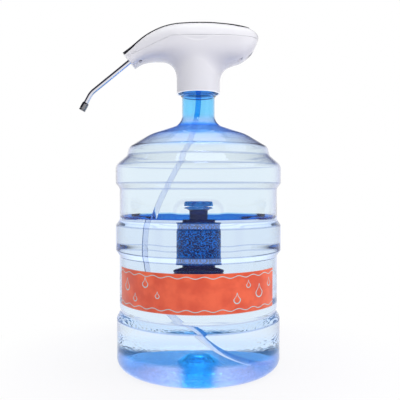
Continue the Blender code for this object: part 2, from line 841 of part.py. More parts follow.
def head_form(name, depth, first, last, parent, material=None, guide=True):
    """The head's closed form, drawn in by a depth, between two places along X."""
    places = [
        -NOSE_REACH + (NOSE_REACH + TAIL_REACH) * (a[0] + (b[0] - a[0]) * k / HEAD_STEPS)
        for a, b in zip(HEAD_SHARES, HEAD_SHARES[1:])
        for k in range(HEAD_STEPS)
    ]
    margin = PLASTIC_WALL / 2
    places = [first] + [x for x in places if first + margin < x < last - margin] + [last]
    rings = []
    for x in places:
        low, high, half_width = head_row(x)
        middle, tall, wide = (low + high) / 2, (high - low) / 2 - depth, half_width - depth
        ring = []
        for k in range(HEAD_SIDES):
            c, s = math.cos(math.tau * k / HEAD_SIDES), math.sin(math.tau * k / HEAD_SIDES)
            power = 2 / HEAD_SQUARENESS
            ring.append((
                x,
                wide * math.copysign(abs(c) ** power, c),
                middle + tall * math.copysign(abs(s) ** power, s),
            ))
        rings.append(ring)
    bm = loft(rings)
    face = nose_face()
    outward = Vector((-math.cos(SPOUT_FALL), 0, -math.sin(SPOUT_FALL)))
    plane = face - outward * (NOSE_WALL if depth > 0 else 0)
    trimmed = bmesh.ops.bisect_plane(
        bm, geom=bm.verts[:] + bm.edges[:] + bm.faces[:],
        plane_co=plane, plane_no=outward, clear_outer=True,
    )
    edges = [g for g in trimmed["geom_cut"] if isinstance(g, bmesh.types.BMEdge)]
    bmesh.ops.edgeloop_fill(bm, edges=edges)
    return add_piece(name, bm, material, parent, guide=guide)


def skirt_form(parent):
    """Ellipses stacked from the skirt's rim to the belly, flaring fore and aft into the underside."""
    levels = [skirt_bottom()]
    tallest = max(SKIRT_FLARE_FRONT, SKIRT_FLARE_REAR)
    levels += [
        flare_height() + tallest * math.sin(math.pi / 2 * k / SKIRT_FLARE_STEPS)
        for k in range(SKIRT_FLARE_STEPS + 1)
    ]
    levels.append(skirt_top())
    rings = []
    for z in levels:
        ring = []
        for k in range(SKIRT_SIDES):
            angle = math.tau * k / SKIRT_SIDES
            flare = SKIRT_FLARE_REAR if math.cos(angle) > 0 else SKIRT_FLARE_FRONT
            rise = min(max(z - flare_height(), 0), flare)
            reach = SKIRT_RADIUS + flare - math.sqrt(flare ** 2 - rise ** 2)
            ring.append((reach * math.cos(angle), SKIRT_RADIUS * math.sin(angle), z))
        rings.append(ring)
    return add_piece("skirt_guide", loft(rings), None, parent, guide=True)


def parting_height(x):
    fall = max(-PARTING_FRONT - x, 0) / (NOSE_REACH - PARTING_FRONT)
    return parting_level() - PARTING_NOSE_DROP * fall


def parting_guide(above, parent):
    """The space above or below the parting line, less half of the gap."""
    shift = GAP / 2 if above else -GAP / 2
    far = skirt_top() if above else -skirt_top()
    reach = NOSE_REACH + OVERRUN
    line = [
        (-reach, parting_height(-reach) + shift), (-PARTING_FRONT, parting_level() + shift),
        (TAIL_REACH + OVERRUN, parting_level() + shift),
    ]
    outline = line + [(x, z + far) for x, z in reversed(line)]
    wide = HEAD_HALF_WIDTH + OVERRUN
    bm = loft([[(x, y, z) for x, z in outline] for y in (-wide, wide)])
    return add_piece("parting_guide", bm, None, parent, guide=True)


def panel_form(name, side_gap, low, high, parent, material=None, guide=True):
    """A strip along the head's crown between two heights over its skin, cut off at the nose face."""
    rings = []
    front = -PANEL_FRONT - PANEL_OVERHANG
    for i in range(PANEL_ROWS + 1):
        x = front + (PANEL_REAR + side_gap - front) * math.sin(math.pi / 2 * i / PANEL_ROWS)
        grow = min(max((x + PANEL_FRONT) / PANEL_FRONT, 0), 1)
        half = PANEL_HALF_WIDTH * (PANEL_NOSE_SHARE + (1 - PANEL_NOSE_SHARE) * math.sin(math.pi / 2 * grow))
        left = max((PANEL_REAR + side_gap - x) / (PANEL_HALF_WIDTH + side_gap), 0)
        if left < 1:
            half *= math.sqrt(max(1 - (1 - left) ** 2, PANEL_TAIL_SHARE ** 2))
        half += side_gap
        across = [half * (2 * k / PANEL_SIDES - 1) for k in range(PANEL_SIDES + 1)]
        ring = [(x, y, head_top(x, y) + low) for y in across]
        ring += [(x, y, head_top(x, y) + high) for y in reversed(across)]
        rings.append(ring)
    bm = loft(rings)
    face = nose_face()
    outward = Vector((-math.cos(SPOUT_FALL), 0, -math.sin(SPOUT_FALL)))
    if not guide:
        trimmed = bmesh.ops.bisect_plane(
            bm, geom=bm.verts[:] + bm.edges[:] + bm.faces[:],
            plane_co=face, plane_no=outward, clear_outer=True,
        )
        edges = [g for g in trimmed["geom_cut"] if isinstance(g, bmesh.types.BMEdge)]
        bmesh.ops.edgeloop_fill(bm, edges=edges)
    return add_piece(name, bm, material, parent, guide=guide)


def guide(name, bm, parent, place=(0, 0, 0), turn=None):
    return add_piece(name, bm, None, parent, place, turn, guide=True)


def screw_places():
    return [
        ("front", SCREW_SETBACK_FRONT - NOSE_REACH, SCREW_SPREAD_FRONT),
        ("rear", TAIL_REACH - SCREW_SETBACK_REAR, SCREW_SPREAD_REAR),
    ]


def make_housing(parent, white):
    """The two halves of the pump's housing, with bosses, cradles, deck and openings."""
    tail = TAIL_REACH - PLASTIC_WALL - GAP
    nose = -NOSE_REACH
    chamber = head_form("chamber_guide", PLASTIC_WALL, nose, tail, parent)
    bore = SKIRT_RADIUS - SKIRT_WALL
    hole = INLET_PIPE_RADIUS + GAP
    well = revolve((
        (0, skirt_bottom() - OVERRUN), (bore, skirt_bottom() - OVERRUN),
        (bore, deck_bottom()), (hole, deck_bottom()),
        (hole, deck_top()), (bore, deck_top()), (bore, skirt_top()), (0, skirt_top()),
    ), SKIRT_SIDES, closed=False)
    join(chamber, guide("well_guide", well, parent))

    lower = head_form("lower_housing", 0, nose, TAIL_REACH, parent, white, guide=False)
    join(lower, skirt_form(parent))
    cut(lower, chamber)
    upper = head_form("upper_cover", 0, nose, TAIL_REACH, parent, white, guide=False)
    cut(upper, head_form("cover_chamber_guide", PLASTIC_WALL, nose, tail, parent))

    # Bosses: a post in each half, with a pocket for the screw head from below
    seat_depth = PANEL_THICKNESS - PANEL_PROUD + PANEL_SEAT_CLEARANCE
    roof_depth = (PLASTIC_WALL + seat_depth) / 2
    skin = head_form("boss_limit_guide", PLASTIC_WALL / 2, nose, tail, parent)
    for _, x, spread in screw_places():
        for y in (-spread, spread):
            base = head_underside(x, y)
            roof = head_top(x, y)
            split = parting_height(x)
            post = guide("boss_guide", disc(BOSS_RADIUS, base - OVERRUN, split), parent, (x, y, 0))
            boolean(post, skin, "INTERSECT")
            join(lower, post)
            post = disc(BOSS_RADIUS, split - OVERRUN, roof - roof_depth)
            join(upper, guide("boss_guide", post, parent, (x, y, 0)))
            hole = SCREW_SHANK_RADIUS + GAP
            depth = split + SCREW_ENGAGE + GAP
            seat = base + SCREW_POCKET_DEPTH
            drill = revolve((
                (0, base - OVERRUN), (SCREW_POCKET_RADIUS, base - OVERRUN), (SCREW_POCKET_RADIUS, seat),
                (hole, seat), (hole, depth), (0, depth),
            ), SCREW_SIDES, closed=False)
            drill = guide("drill_guide", drill, parent, (x, y, 0))
            cut(lower, drill)
            cut(upper, drill)

    # Cradles for the pump and the cell stand on the deck
    for x in (-CRADLE_FRONT, CRADLE_REAR):
        low = deck_top() - DECK_THICKNESS / 2
        size = (CRADLE_THICKNESS, 2 * CRADLE_HALF_WIDTH, pump_level() - low)
        join(lower, guide("cradle_guide", block(size, (x, 0, (pump_level() + low) / 2)), parent))
    along_x = (0, math.pi / 2, 0)
    notch_foot = deck_top() + INLET_FLANGE
    notch = block(
        (CRADLE_THICKNESS * 2, 2 * (SMALL_HOSE_RADIUS + GAP), pump_level() - notch_foot + OVERRUN),
        (-CRADLE_FRONT, hose_lane(), (pump_level() + notch_foot + OVERRUN) / 2),
    )
    cut(lower, guide("hose_notch_guide", notch, parent))
    for y, z, radius in ((PUMP_Y, pump_level(), CASE_RADIUS), (CELL_Y, cell_level(), CELL_RADIUS)):
        hollow = disc(radius + GAP, -CELL_FRONT - GAP, CELL_LENGTH - CELL_FRONT, sides=PUMP_SIDES)
        cut(lower, guide("cradle_bore_guide", hollow, parent, (0, y, z), along_x))
    slot = block(
        (CELL_LENGTH + 2 * OVERRUN, 2 * (CELL_RADIUS + GAP), CELL_RADIUS * 2),
        (CELL_LENGTH / 2 - CELL_FRONT, CELL_Y, cell_level() + CELL_RADIUS),
    )
    cut(lower, guide("cell_slot_guide", slot, parent))

    # Spout bore through the nose wall, with a thick collar behind it
    frame = spout_turn()
    face = nose_face()
    collar = disc(SOCKET_RADIUS + GAP + PLASTIC_WALL, -SOCKET_LENGTH, -NOSE_WALL / 2, sides=SPOUT_SIDES)
    join(lower, guide("collar_guide", collar, parent, face, frame))
    seat = revolve((
        (0, -SOCKET_LENGTH - OVERRUN), (SOCKET_RADIUS + GAP, -SOCKET_LENGTH - OVERRUN),
        (SOCKET_RADIUS + GAP, -NOSE_WALL), (SPOUT_RADIUS + GAP, -NOSE_WALL),
        (SPOUT_RADIUS + GAP, OVERRUN), (0, OVERRUN),
    ), SPOUT_SIDES, closed=False)
    cut(lower, guide("socket_guide", seat, parent, face, frame))

    # Charging opening in the tail: a recess for the cover and a boss for the socket
    place, turn = port_frame()
    boss = rounded_block(
        USB_HEIGHT + 2 * USB_BOSS_WALL, USB_WIDTH + 2 * USB_BOSS_WALL, USB_BOSS_WALL,
        -PORT_RECESS - USB_DEPTH, -PORT_RECESS - PLASTIC_WALL / 2,
    )
    ring = rounded_block(
        PORT_HEIGHT + 2 * PLASTIC_WALL, PORT_WIDTH + 2 * PLASTIC_WALL, PORT_HEIGHT / 2,
        -PORT_RECESS - PLASTIC_WALL, OVERRUN,
    )
    ring = guide("port_ring_guide", ring, parent, place, turn)
    boolean(ring, skin, "INTERSECT")
    join(lower, ring, guide("usb_boss_guide", boss, parent, place, turn))
    recess = rounded_block(
        PORT_HEIGHT + 2 * GAP, PORT_WIDTH + 2 * GAP, PORT_HEIGHT / 2,
        -PORT_RECESS + GAP, OVERRUN + PORT_RECESS, PORT_CORNER_STEPS,
    )
    cut(lower, guide("recess_guide", recess, parent, place, turn))
    usb = block(
        (USB_HEIGHT + 2 * GAP, USB_WIDTH + 2 * GAP, USB_DEPTH + 2 * OVERRUN),
        (0, 0, -PORT_RECESS - USB_DEPTH / 2),
    )
    cut(lower, guide("usb_guide", usb, parent, place, turn))

    # Posts for the board, the panel's seat, the button's and the lens's holes
    for x in (-BOARD_FRONT + BOARD_POST_INSET, BOARD_LENGTH - BOARD_FRONT - BOARD_POST_INSET):
        for y in (-BOARD_WIDTH / 2 + BOARD_POST_INSET, BOARD_WIDTH / 2 - BOARD_POST_INSET):
            post = disc(BOARD_POST_RADIUS, board_level() + BOARD_THICKNESS + GAP, head_top(x, y) - roof_depth)
            join(upper, guide("post_guide", post, parent, (x, y, 0)))
    cut(upper, panel_form("panel_seat_guide", GAP, -seat_depth, PANEL_PROUD + OVERRUN, parent))
    roof = head_top(BUTTON_PLACE, 0)
    well_radius = BUTTON_RADIUS + BUTTON_CLEARANCE
    button_well = disc(well_radius, parting_level(), roof + OVERRUN, sides=PUMP_SIDES)
    cut(upper, guide("button_guide", button_well, parent, (BUTTON_PLACE, 0, 0)))
    cut(upper, lens_form("lens_hole_guide", GAP, None, parent))

    boolean(lower, parting_guide(False, parent), "INTERSECT")
    boolean(upper, parting_guide(True, parent), "INTERSECT")
    return lower, upper


def spout_turn():
    """Turns local +Z down the spout's straight stretch and local +X to the side it bends to."""
    along = Vector((-math.cos(SPOUT_FALL), 0, -math.sin(SPOUT_FALL)))
    bend = Vector((math.sin(SPOUT_FALL), 0, -math.cos(SPOUT_FALL)))
    return Matrix((bend, along.cross(bend), along)).transposed().to_euler()


def port_axes():
    """Place of the charging opening on the tail's skin, with the directions out of it and up along it."""
    step = PORT_HEIGHT / 2
    x = TAIL_REACH - PORT_SETBACK_X
    low, high = head_underside(x - step, 0), head_underside(x + step, 0)
    up = Vector((2 * step, 0, high - low)).normalized()
    out = Vector((up.z, 0, -up.x))
    middle = Vector((x, 0, (low + high) / 2))
    return middle, out, up


def port_frame():
    """Place and turn of the charging opening: local +Z out of the tail, local +X up along it."""
    place, out, up = port_axes()
    return place, Matrix((up, out.cross(up), out)).transposed().to_euler()


def lens_form(name, grown, material, parent, as_guide=True):
    """The indicator lens, or the hole for it, under the panel's skin."""
    top = head_top(LENS_PLACE, 0) + PANEL_PROUD
    high = OVERRUN if as_guide else 0
    low = -LENS_THICKNESS - (OVERRUN if as_guide else 0)
    bm = rounded_block(LENS_LENGTH + 2 * grown, LENS_WIDTH + 2 * grown, LENS_WIDTH / 2 + grown, low, high)
    return add_piece(name, bm, material, parent, (LENS_PLACE, 0, top), guide=as_guide)


def make_panel(parent, dark, grey, amber):
    panel = panel_form("top_panel", 0, PANEL_PROUD - PANEL_THICKNESS, PANEL_PROUD, parent, dark, guide=False)
    roof = head_top(BUTTON_PLACE, 0)
    hole = disc(BUTTON_RADIUS + BUTTON_CLEARANCE, parting_level(), roof + OVERRUN, sides=PUMP_SIDES)
    cut(panel, guide("panel_hole_guide", hole, parent, (BUTTON_PLACE, 0, 0)))
    cut(panel, lens_form("panel_lens_guide", GAP, None, parent))
    lens_form("indicator_lens", 0, amber, parent, as_guide=False)

    # The cap slides in the panel's hole, its stem ends above the switch
    top = roof + PANEL_PROUD + BUTTON_PROUD
    switch_top = board_level() + BOARD_THICKNESS + GAP + SWITCH_HEIGHT + SWITCH_PLUNGER_HEIGHT
    stem_end = switch_top + BUTTON_TRAVEL + GAP - top
    outline = rounded([
        (0, stem_end, 0), (BUTTON_STEM_RADIUS, stem_end, 0),
        (BUTTON_STEM_RADIUS, -BUTTON_CAP_THICKNESS, 0), (BUTTON_RADIUS, -BUTTON_CAP_THICKNESS, 0),
        (BUTTON_RADIUS, 0, BUTTON_FILLET), (BUTTON_RADIUS * BUTTON_DISH_SHARE, -BUTTON_DISH / 2, 0),
        (0, -BUTTON_DISH, 0),
    ], COARSE_ARC)
    button = add_piece(
        "power_button", revolve(outline, PUMP_SIDES, closed=False), grey, parent, (BUTTON_PLACE, 0, top)
    )
    return panel, button


def make_screws(parent, steel, plug_grey):
    for row, x, spread in screw_places():
        for side, y in (("left", -spread), ("right", spread)):
            head_low = head_underside(x, y) + SCREW_POCKET_DEPTH - SCREW_HEAD_HEIGHT - GAP
            seat = head_low + SCREW_HEAD_HEIGHT
            tip = parting_height(x) + SCREW_ENGAGE
            outline = (
                (0, head_low + SCREW_DRIVE_DEPTH), (SCREW_SHANK_RADIUS, head_low),
                (SCREW_HEAD_RADIUS, head_low),
                (SCREW_HEAD_RADIUS, seat), (SCREW_SHANK_RADIUS, seat),
                (SCREW_SHANK_RADIUS, tip - SCREW_SHANK_RADIUS), (0, tip),
            )
            name = f"cover_screw_{row}_{side}"
            add_piece(name, revolve(outline, SCREW_SIDES, closed=False), steel, parent, (x, y, 0))
            if row == "front":
                top = head_low - GAP
                plug = disc(SCREW_POCKET_RADIUS - GAP, top - PLUG_THICKNESS, top)
                add_piece(f"screw_plug_{side}", plug, plug_grey, parent, (x, y, 0))


def make_sleeve(parent, rubber):
    """Soft ring between the bottle's neck and the skirt, with three gripping ribs."""
    outer = SKIRT_RADIUS - SKIRT_WALL - GAP
    inner = NECK_RADIUS + MOUTH_LIP + GAP
    top = deck_bottom() - GAP
    flange = mouth_height() + GAP
    foot = top - SLEEVE_LENGTH
    pitch = SLEEVE_LENGTH / (SLEEVE_RIB_COUNT + 1)
    outline = [(SLEEVE_FLANGE_BORE, flange), (inner, flange)]
    outline += [(inner, foot), (outer - SLEEVE_RIB, foot)]
    for k in range(1, SLEEVE_RIB_COUNT + 1):
        z = foot + pitch * k
        outline += [
            (outer - SLEEVE_RIB, z - SLEEVE_RIB_SLOPE), (outer, z),
            (outer - SLEEVE_RIB, z + SLEEVE_RIB_SLOPE),
        ]
    outline += [(outer - SLEEVE_RIB, top), (SLEEVE_FLANGE_BORE, top)]
    return add_piece("neck_sleeve", revolve(outline, SKIRT_SIDES), rubber, parent)


# Pump unit

def nipple_guides(parent, face, length):
    """Two nipples on the valve head, one above the other, and their bores."""
    bodies, bores = [], []
    turn = (0, -math.pi / 2, 0)
    for z in (-NIPPLE_SPREAD, NIPPLE_SPREAD):
        place = (face, PUMP_Y, pump_level() + z)
        bodies.append(guide("nipple_guide", disc(NIPPLE_RADIUS, -length / 2, length), parent, place, turn))
        bore = disc(NIPPLE_BORE, -length / 2, length + OVERRUN, sides=HOSE_SIDES)
        bores.append(guide("nipple_bore_guide", bore, parent, place, turn))
    return bodies, bores


def make_pump(parent, steel, nylon, rubber, brass):
    along_x = (0, math.pi / 2, 0)
    axis = (0, PUMP_Y, pump_level())
    rear = MOTOR_FRONT + MOTOR_LENGTH
    can = add_piece(
        "motor_can",
        revolve(rounded([
            (0, MOTOR_FRONT, 0), (MOTOR_RADIUS, MOTOR_FRONT, MOTOR_CAP_LENGTH / 2),
            (MOTOR_RADIUS, rear, 0), (0, rear, 0),
        ], COARSE_ARC), PUMP_SIDES, closed=False),
        steel, parent, axis, along_x,
    )
    wide = MOTOR_RADIUS * 2
    for side in (-1, 1):
        flat = block((wide, wide, MOTOR_LENGTH * 2), (side * (MOTOR_FLAT + MOTOR_RADIUS), 0, rear))
        cut(can, guide("flat_guide", flat, parent, axis, along_x))
    drill = disc(SHAFT_RADIUS + SHAFT_CLEARANCE, MOTOR_FRONT - OVERRUN, MOTOR_FRONT + MOTOR_BORE_DEPTH)
    cut(can, guide("shaft_drill_guide", drill, parent, axis, along_x))
    low, high = rear + GAP, rear + GAP + MOTOR_CAP_LENGTH
    cap = revolve((
        (0, low), (MOTOR_FLAT, low), (MOTOR_FLAT, high), (MOTOR_HUB_RADIUS, high),
        (MOTOR_HUB_RADIUS, high + MOTOR_CAP_LENGTH), (0, high + MOTOR_CAP_LENGTH),
    ), PUMP_SIDES, closed=False)
    end_cap = add_piece("motor_end_cap", cap, nylon, parent, axis, along_x)
    for side in (-1, 1):
        lug = block(
            (MOTOR_CAP_LENGTH, TERMINAL_THICKNESS, TERMINAL_LENGTH),
            (0, side * MOTOR_RADIUS / 2, rear + TERMINAL_REACH),
        )
        join(end_cap, guide("terminal_guide", lug, parent, axis, along_x))

    # Case: a cup with its closed end on the motor
    face = MOTOR_FRONT - GAP
    mouth = face - CASE_LENGTH
    cup = revolve((
        (CASE_BORE, face), (CASE_RADIUS, face), (CASE_RADIUS, mouth), (CASE_RADIUS - CASE_WALL, mouth),
        (CASE_RADIUS - CASE_WALL, face - CASE_WALL), (CASE_BORE, face - CASE_WALL),
    ), PUMP_SIDES)
    add_piece("pump_case", cup, nylon, parent, axis, along_x)

    # Shaft and eccentric turn together about the pump's axis
    pivot = add_empty("motor_axis", axis, parent)
    shaft_end = MOTOR_FRONT + MOTOR_BORE_DEPTH - GAP * 2
    shaft = disc(SHAFT_RADIUS, shaft_end - SHAFT_LENGTH, shaft_end, sides=SCREW_SIDES)
    add_piece("motor_shaft", shaft, steel, pivot, (0, 0, 0), along_x)
    cam_high = face - CASE_WALL - ECCENTRIC_SETBACK
    cam = disc(ECCENTRIC_RADIUS, cam_high - ECCENTRIC_THICKNESS, cam_high, sides=PUMP_SIDES)
    bmesh.ops.translate(cam, vec=(ECCENTRIC_THROW, 0, 0), verts=cam.verts)
    eccentric = add_piece("eccentric", cam, brass, pivot, (0, 0, 0), along_x)
    through = disc(SHAFT_RADIUS + GAP, cam_high - ECCENTRIC_THICKNESS - OVERRUN, cam_high + OVERRUN)
    cut(eccentric, guide("eccentric_bore_guide", through, pivot, (0, 0, 0), along_x))

    # Swash plate, diaphragm with three cups, and valve head close the case
    film_high = mouth - GAP
    film_low = film_high - DIAPHRAGM_THICKNESS
    sheet = disc(CASE_RADIUS, film_low, film_high, sides=PUMP_SIDES)
    film = add_piece("diaphragm", sheet, rubber, parent, axis, along_x)
    swash_low = film_high + DIAPHRAGM_CUP_DEPTH + GAP
    for k in range(DIAPHRAGM_CUPS):
        angle = math.tau * k / DIAPHRAGM_CUPS
        cup_bm = disc(DIAPHRAGM_CUP_RADIUS, film_high - GAP, film_high + DIAPHRAGM_CUP_DEPTH)
        bmesh.ops.translate(
            cup_bm, verts=cup_bm.verts,
            vec=(DIAPHRAGM_CUP_RING * math.cos(angle), DIAPHRAGM_CUP_RING * math.sin(angle), 0),
        )
        join(film, guide("cup_guide", cup_bm, parent, axis, along_x))
    swash = disc(SWASH_RADIUS, swash_low, swash_low + SWASH_THICKNESS, sides=PUMP_SIDES)
    add_piece("swash_plate", swash, nylon, parent, axis, along_x)

    valve_high = film_low - GAP
    valve_low = valve_high - VALVE_HEAD_LENGTH
    valve = add_piece(
        "valve_head",
        revolve(rounded([
            (0, valve_low, 0), (CASE_RADIUS, valve_low, CASE_WALL),
            (CASE_RADIUS, valve_high, 0), (0, valve_high, 0),
        ], COARSE_ARC), PUMP_SIDES, closed=False),
        nylon, parent, axis, along_x,
    )
    bodies, bores = nipple_guides(parent, valve_low, NIPPLE_LENGTH)
    join(valve, *bodies)
    cut(valve, *bores)
    return valve_low


def hose_lane():
    """Y of the free lane between the pump and the cell."""
    return (PUMP_Y + CASE_RADIUS + CELL_Y - CELL_RADIUS) / 2


def inlet_end():
    """Height where the inlet fitting meets the suction hose."""
    return deck_bottom() - INLET_DROP


def make_plumbing(parent, valve_low, steel, nylon, silicone, rubber):
    """Inlet fitting in the deck, the two short hoses, and the spout's socket in the nose."""
    flange_low = deck_top() + GAP
    flange_high = flange_low + INLET_FLANGE
    barb_low = inlet_end()
    pipe_top = flange_high + INLET_RISE
    outline = (
        (INLET_BORE, barb_low), (INLET_PIPE_RADIUS, barb_low), (INLET_PIPE_RADIUS, flange_low),
        (INLET_FLANGE_RADIUS, flange_low), (INLET_FLANGE_RADIUS, flange_high),
        (SMALL_HOSE_BORE - GAP, flange_high), (SMALL_HOSE_BORE - GAP, pipe_top), (INLET_BORE, pipe_top),
    )
    add_piece("inlet_connector", revolve(outline, SCREW_SIDES), nylon, parent)

    nipple_end = valve_low - GAP * 3
    lane = hose_lane()
    low_z, high_z = pump_level() - NIPPLE_SPREAD, pump_level() + NIPPLE_SPREAD
    hose_start = flange_high + GAP
    width = SMALL_HOSE_RADIUS * 2
    inlet_path = [(0, 0, hose_start), (0, 0, (hose_start + pipe_top) / 2)]
    inlet_path += [(-width * a, lane * b, pipe_top + width * c) for a, b, c in INLET_RISE_SHARES]
    a, b, c = INLET_TURN_SHARES
    inlet_path.append((valve_low - width * a, lane * b, pipe_top + width * c))
    inlet_path += [(valve_low - width * a, PUMP_Y * b, low_z + width * c) for a, b, c in INLET_RETURN_SHARES]
    inlet_path += [(valve_low - NIPPLE_LENGTH, PUMP_Y, low_z), (nipple_end, PUMP_Y, low_z)]
    inlet_path = spline(inlet_path, SMALL_HOSE_SPACING)
    tube = pipe(inlet_path, SMALL_HOSE_RADIUS, SMALL_HOSE_BORE, HOSE_SIDES)
    add_piece("inlet_hose", tube, silicone, parent)

    turn = spout_turn()
    face = nose_face()
    along = Vector((-math.cos(SPOUT_FALL), 0, -math.sin(SPOUT_FALL)))
    socket_high = -NOSE_WALL - GAP
    socket_low = socket_high - SOCKET_LENGTH
    cup_floor = -SPOUT_INSERT - GAP
    groove_low, groove_high = -SEAL_GROOVE - SEAL_RADIUS * 2, -SEAL_GROOVE + SEAL_RADIUS / 2
    groove = SPOUT_RADIUS + SEAL_RADIUS * 2 + GAP * 2
    outline = (
        (SOCKET_BORE, socket_low), (BARB_RADIUS, socket_low),
        (BARB_RADIUS, socket_low + BARB_LENGTH * BARB_COVER_SHARE),
        (SOCKET_RADIUS, socket_low + BARB_LENGTH * BARB_COVER_SHARE), (SOCKET_RADIUS, socket_high),
        (groove, socket_high), (groove, groove_low), (SPOUT_RADIUS + GAP, groove_low),
        (SPOUT_RADIUS + GAP, cup_floor), (SOCKET_BORE, cup_floor),
    )
    add_piece("outlet_connector", revolve(outline, SPOUT_SIDES), nylon, parent, face, turn)
    ring_middle = (groove_low + groove_high) / 2
    ring_centre = SPOUT_RADIUS + GAP + SEAL_RADIUS
    ring = [
        (ring_centre + SEAL_RADIUS * math.cos(angle), ring_middle + SEAL_RADIUS * math.sin(angle))
        for angle in (math.tau * k / SEAL_SIDES for k in range(SEAL_SIDES))
    ]
    add_piece("spout_seal", revolve(ring, SPOUT_SIDES), rubber, parent, face, turn)

    barb = face + along * (socket_low + BARB_LENGTH * BARB_COVER_SHARE - GAP)
    tail = face + along * (socket_low - BARB_LENGTH * OUTLET_LEAD_SHARE)
    a, b, c = OUTLET_RISE_SHARES
    outlet_path = [barb, (barb + tail) / 2, tail, (tail.x + width * a, PUMP_Y * b, tail.z + width * c)]
    outlet_path += [(valve_low - width * a, PUMP_Y * b, high_z + width * c) for a, b, c in OUTLET_RUN_SHARES]
    outlet_path += [(valve_low - NIPPLE_LENGTH, PUMP_Y, high_z), (nipple_end, PUMP_Y, high_z)]
    outlet_path = spline(outlet_path, SMALL_HOSE_SPACING)
    bore = BARB_RADIUS + GAP
    add_piece("outlet_hose", pipe(outlet_path, SMALL_HOSE_RADIUS + GAP, bore, HOSE_SIDES), silicone, parent)


def make_spout(parent, chrome, tip_grey):
    """Bright bent tube that swivels about its straight stretch, and the nozzle on its end."""
    pivot = add_empty("spout_pivot", nose_face(), parent)
    pivot.rotation_euler = spout_turn()
    path = [Vector((0, 0, -SPOUT_INSERT)), Vector((0, 0, SPOUT_STRAIGHT / 2))]
    for k in range(SPOUT_BEND_STEPS + 1):
        angle = SPOUT_BEND * k / SPOUT_BEND_STEPS
        path.append(Vector((
            SPOUT_BEND_RADIUS * (1 - math.cos(angle)), 0,
            SPOUT_STRAIGHT + SPOUT_BEND_RADIUS * math.sin(angle),
        )))
    onward = Vector((math.sin(SPOUT_BEND), 0, math.cos(SPOUT_BEND)))
    end = path[-1] + onward * SPOUT_LAST
    path.append(end - onward * TIP_LIP)
    add_piece("spout_tube", pipe(path, SPOUT_RADIUS, SPOUT_RADIUS - SPOUT_WALL, SPOUT_SIDES), chrome, pivot)
    sleeve = SPOUT_RADIUS + GAP
    outline = rounded([
        (sleeve, -TIP_LENGTH, 0), (TIP_RADIUS - TIP_LIP, -TIP_LENGTH, 0),
        (TIP_RADIUS, -TIP_LENGTH + TIP_FILLET * 2, TIP_FILLET),
        (TIP_RADIUS, 0, TIP_FILLET), (sleeve, 0, 0),
    ], COARSE_ARC)
    tip = add_piece("spout_tip", revolve(outline, SPOUT_SIDES), tip_grey, pivot, end)
    tip.rotation_euler = (0, SPOUT_BEND, 0)
    return pivot


def spout_reach():
    """How far the nozzle stands in front of the bottle's axis."""
    run = SPOUT_STRAIGHT + SPOUT_BEND_RADIUS * math.sin(SPOUT_BEND)
    fall = SPOUT_BEND_RADIUS * (1 - math.cos(SPOUT_BEND))
    steep = SPOUT_FALL + SPOUT_BEND
    run_x = run * math.cos(SPOUT_FALL) - fall * math.sin(SPOUT_FALL)
    return NOSE_FACE_X + run_x + SPOUT_LAST * math.cos(steep) + TIP_RADIUS * math.sin(steep)


# Electrics

def make_electrics(parent, green, black, metal, wrap):
    along_x = (0, math.pi / 2, 0)
    low = -CELL_FRONT
    high = low + CELL_LENGTH
    cell = revolve(rounded([
        (0, low, 0), (CELL_RADIUS, low, CELL_CROWN), (CELL_RADIUS, high - CELL_CROWN, CELL_CROWN),
        (CELL_POLE_RADIUS, high - CELL_CROWN, 0), (CELL_POLE_RADIUS, high - CELL_CROWN + CELL_POLE_HEIGHT, 0),
        (0, high - CELL_CROWN + CELL_POLE_HEIGHT, 0),
    ], COARSE_ARC), PUMP_SIDES, closed=False)
    add_piece("battery_cell", cell, wrap, parent, (0, CELL_Y, cell_level()), along_x)

    middle = BOARD_LENGTH / 2 - BOARD_FRONT
    board = block((BOARD_LENGTH, BOARD_WIDTH, BOARD_THICKNESS))
    add_piece("control_board", board, green, parent, (middle, 0, board_level() + BOARD_THICKNESS / 2))
    base = board_level() + BOARD_THICKNESS + GAP
    switch = add_piece(
        "button_switch", block((SWITCH_WIDTH, SWITCH_WIDTH, SWITCH_HEIGHT)), black, parent,
        (BUTTON_PLACE, 0, base + SWITCH_HEIGHT / 2),
    )
    switch_top = base + SWITCH_HEIGHT
    plunger = disc(SWITCH_PLUNGER_RADIUS, base + SWITCH_HEIGHT / 2, switch_top + SWITCH_PLUNGER_HEIGHT)
    join(switch, guide("plunger_guide", plunger, parent, (BUTTON_PLACE, 0, 0)))

    place, turn = port_frame()
    top = -PORT_RECESS - GAP
    shell = block((USB_HEIGHT, USB_WIDTH, USB_DEPTH), (0, 0, top - USB_DEPTH / 2))
    socket = add_piece("charging_socket", shell, metal, parent, place, turn)
    inside = block(
        (USB_HEIGHT - 2 * USB_WALL, USB_WIDTH - 2 * USB_WALL, USB_DEPTH),
        (0, 0, top - USB_DEPTH / 2 + USB_FLOOR),
    )
    tongue = block(
        (USB_TONGUE, USB_WIDTH / 2, USB_DEPTH * USB_TONGUE_SHARE),
        (0, 0, top - USB_DEPTH * (1 - USB_TONGUE_SHARE / 2)),
    )
    cut(socket, guide("socket_hollow_guide", inside, parent, place, turn))
    join(socket, guide("tongue_guide", tongue, parent, place, turn))


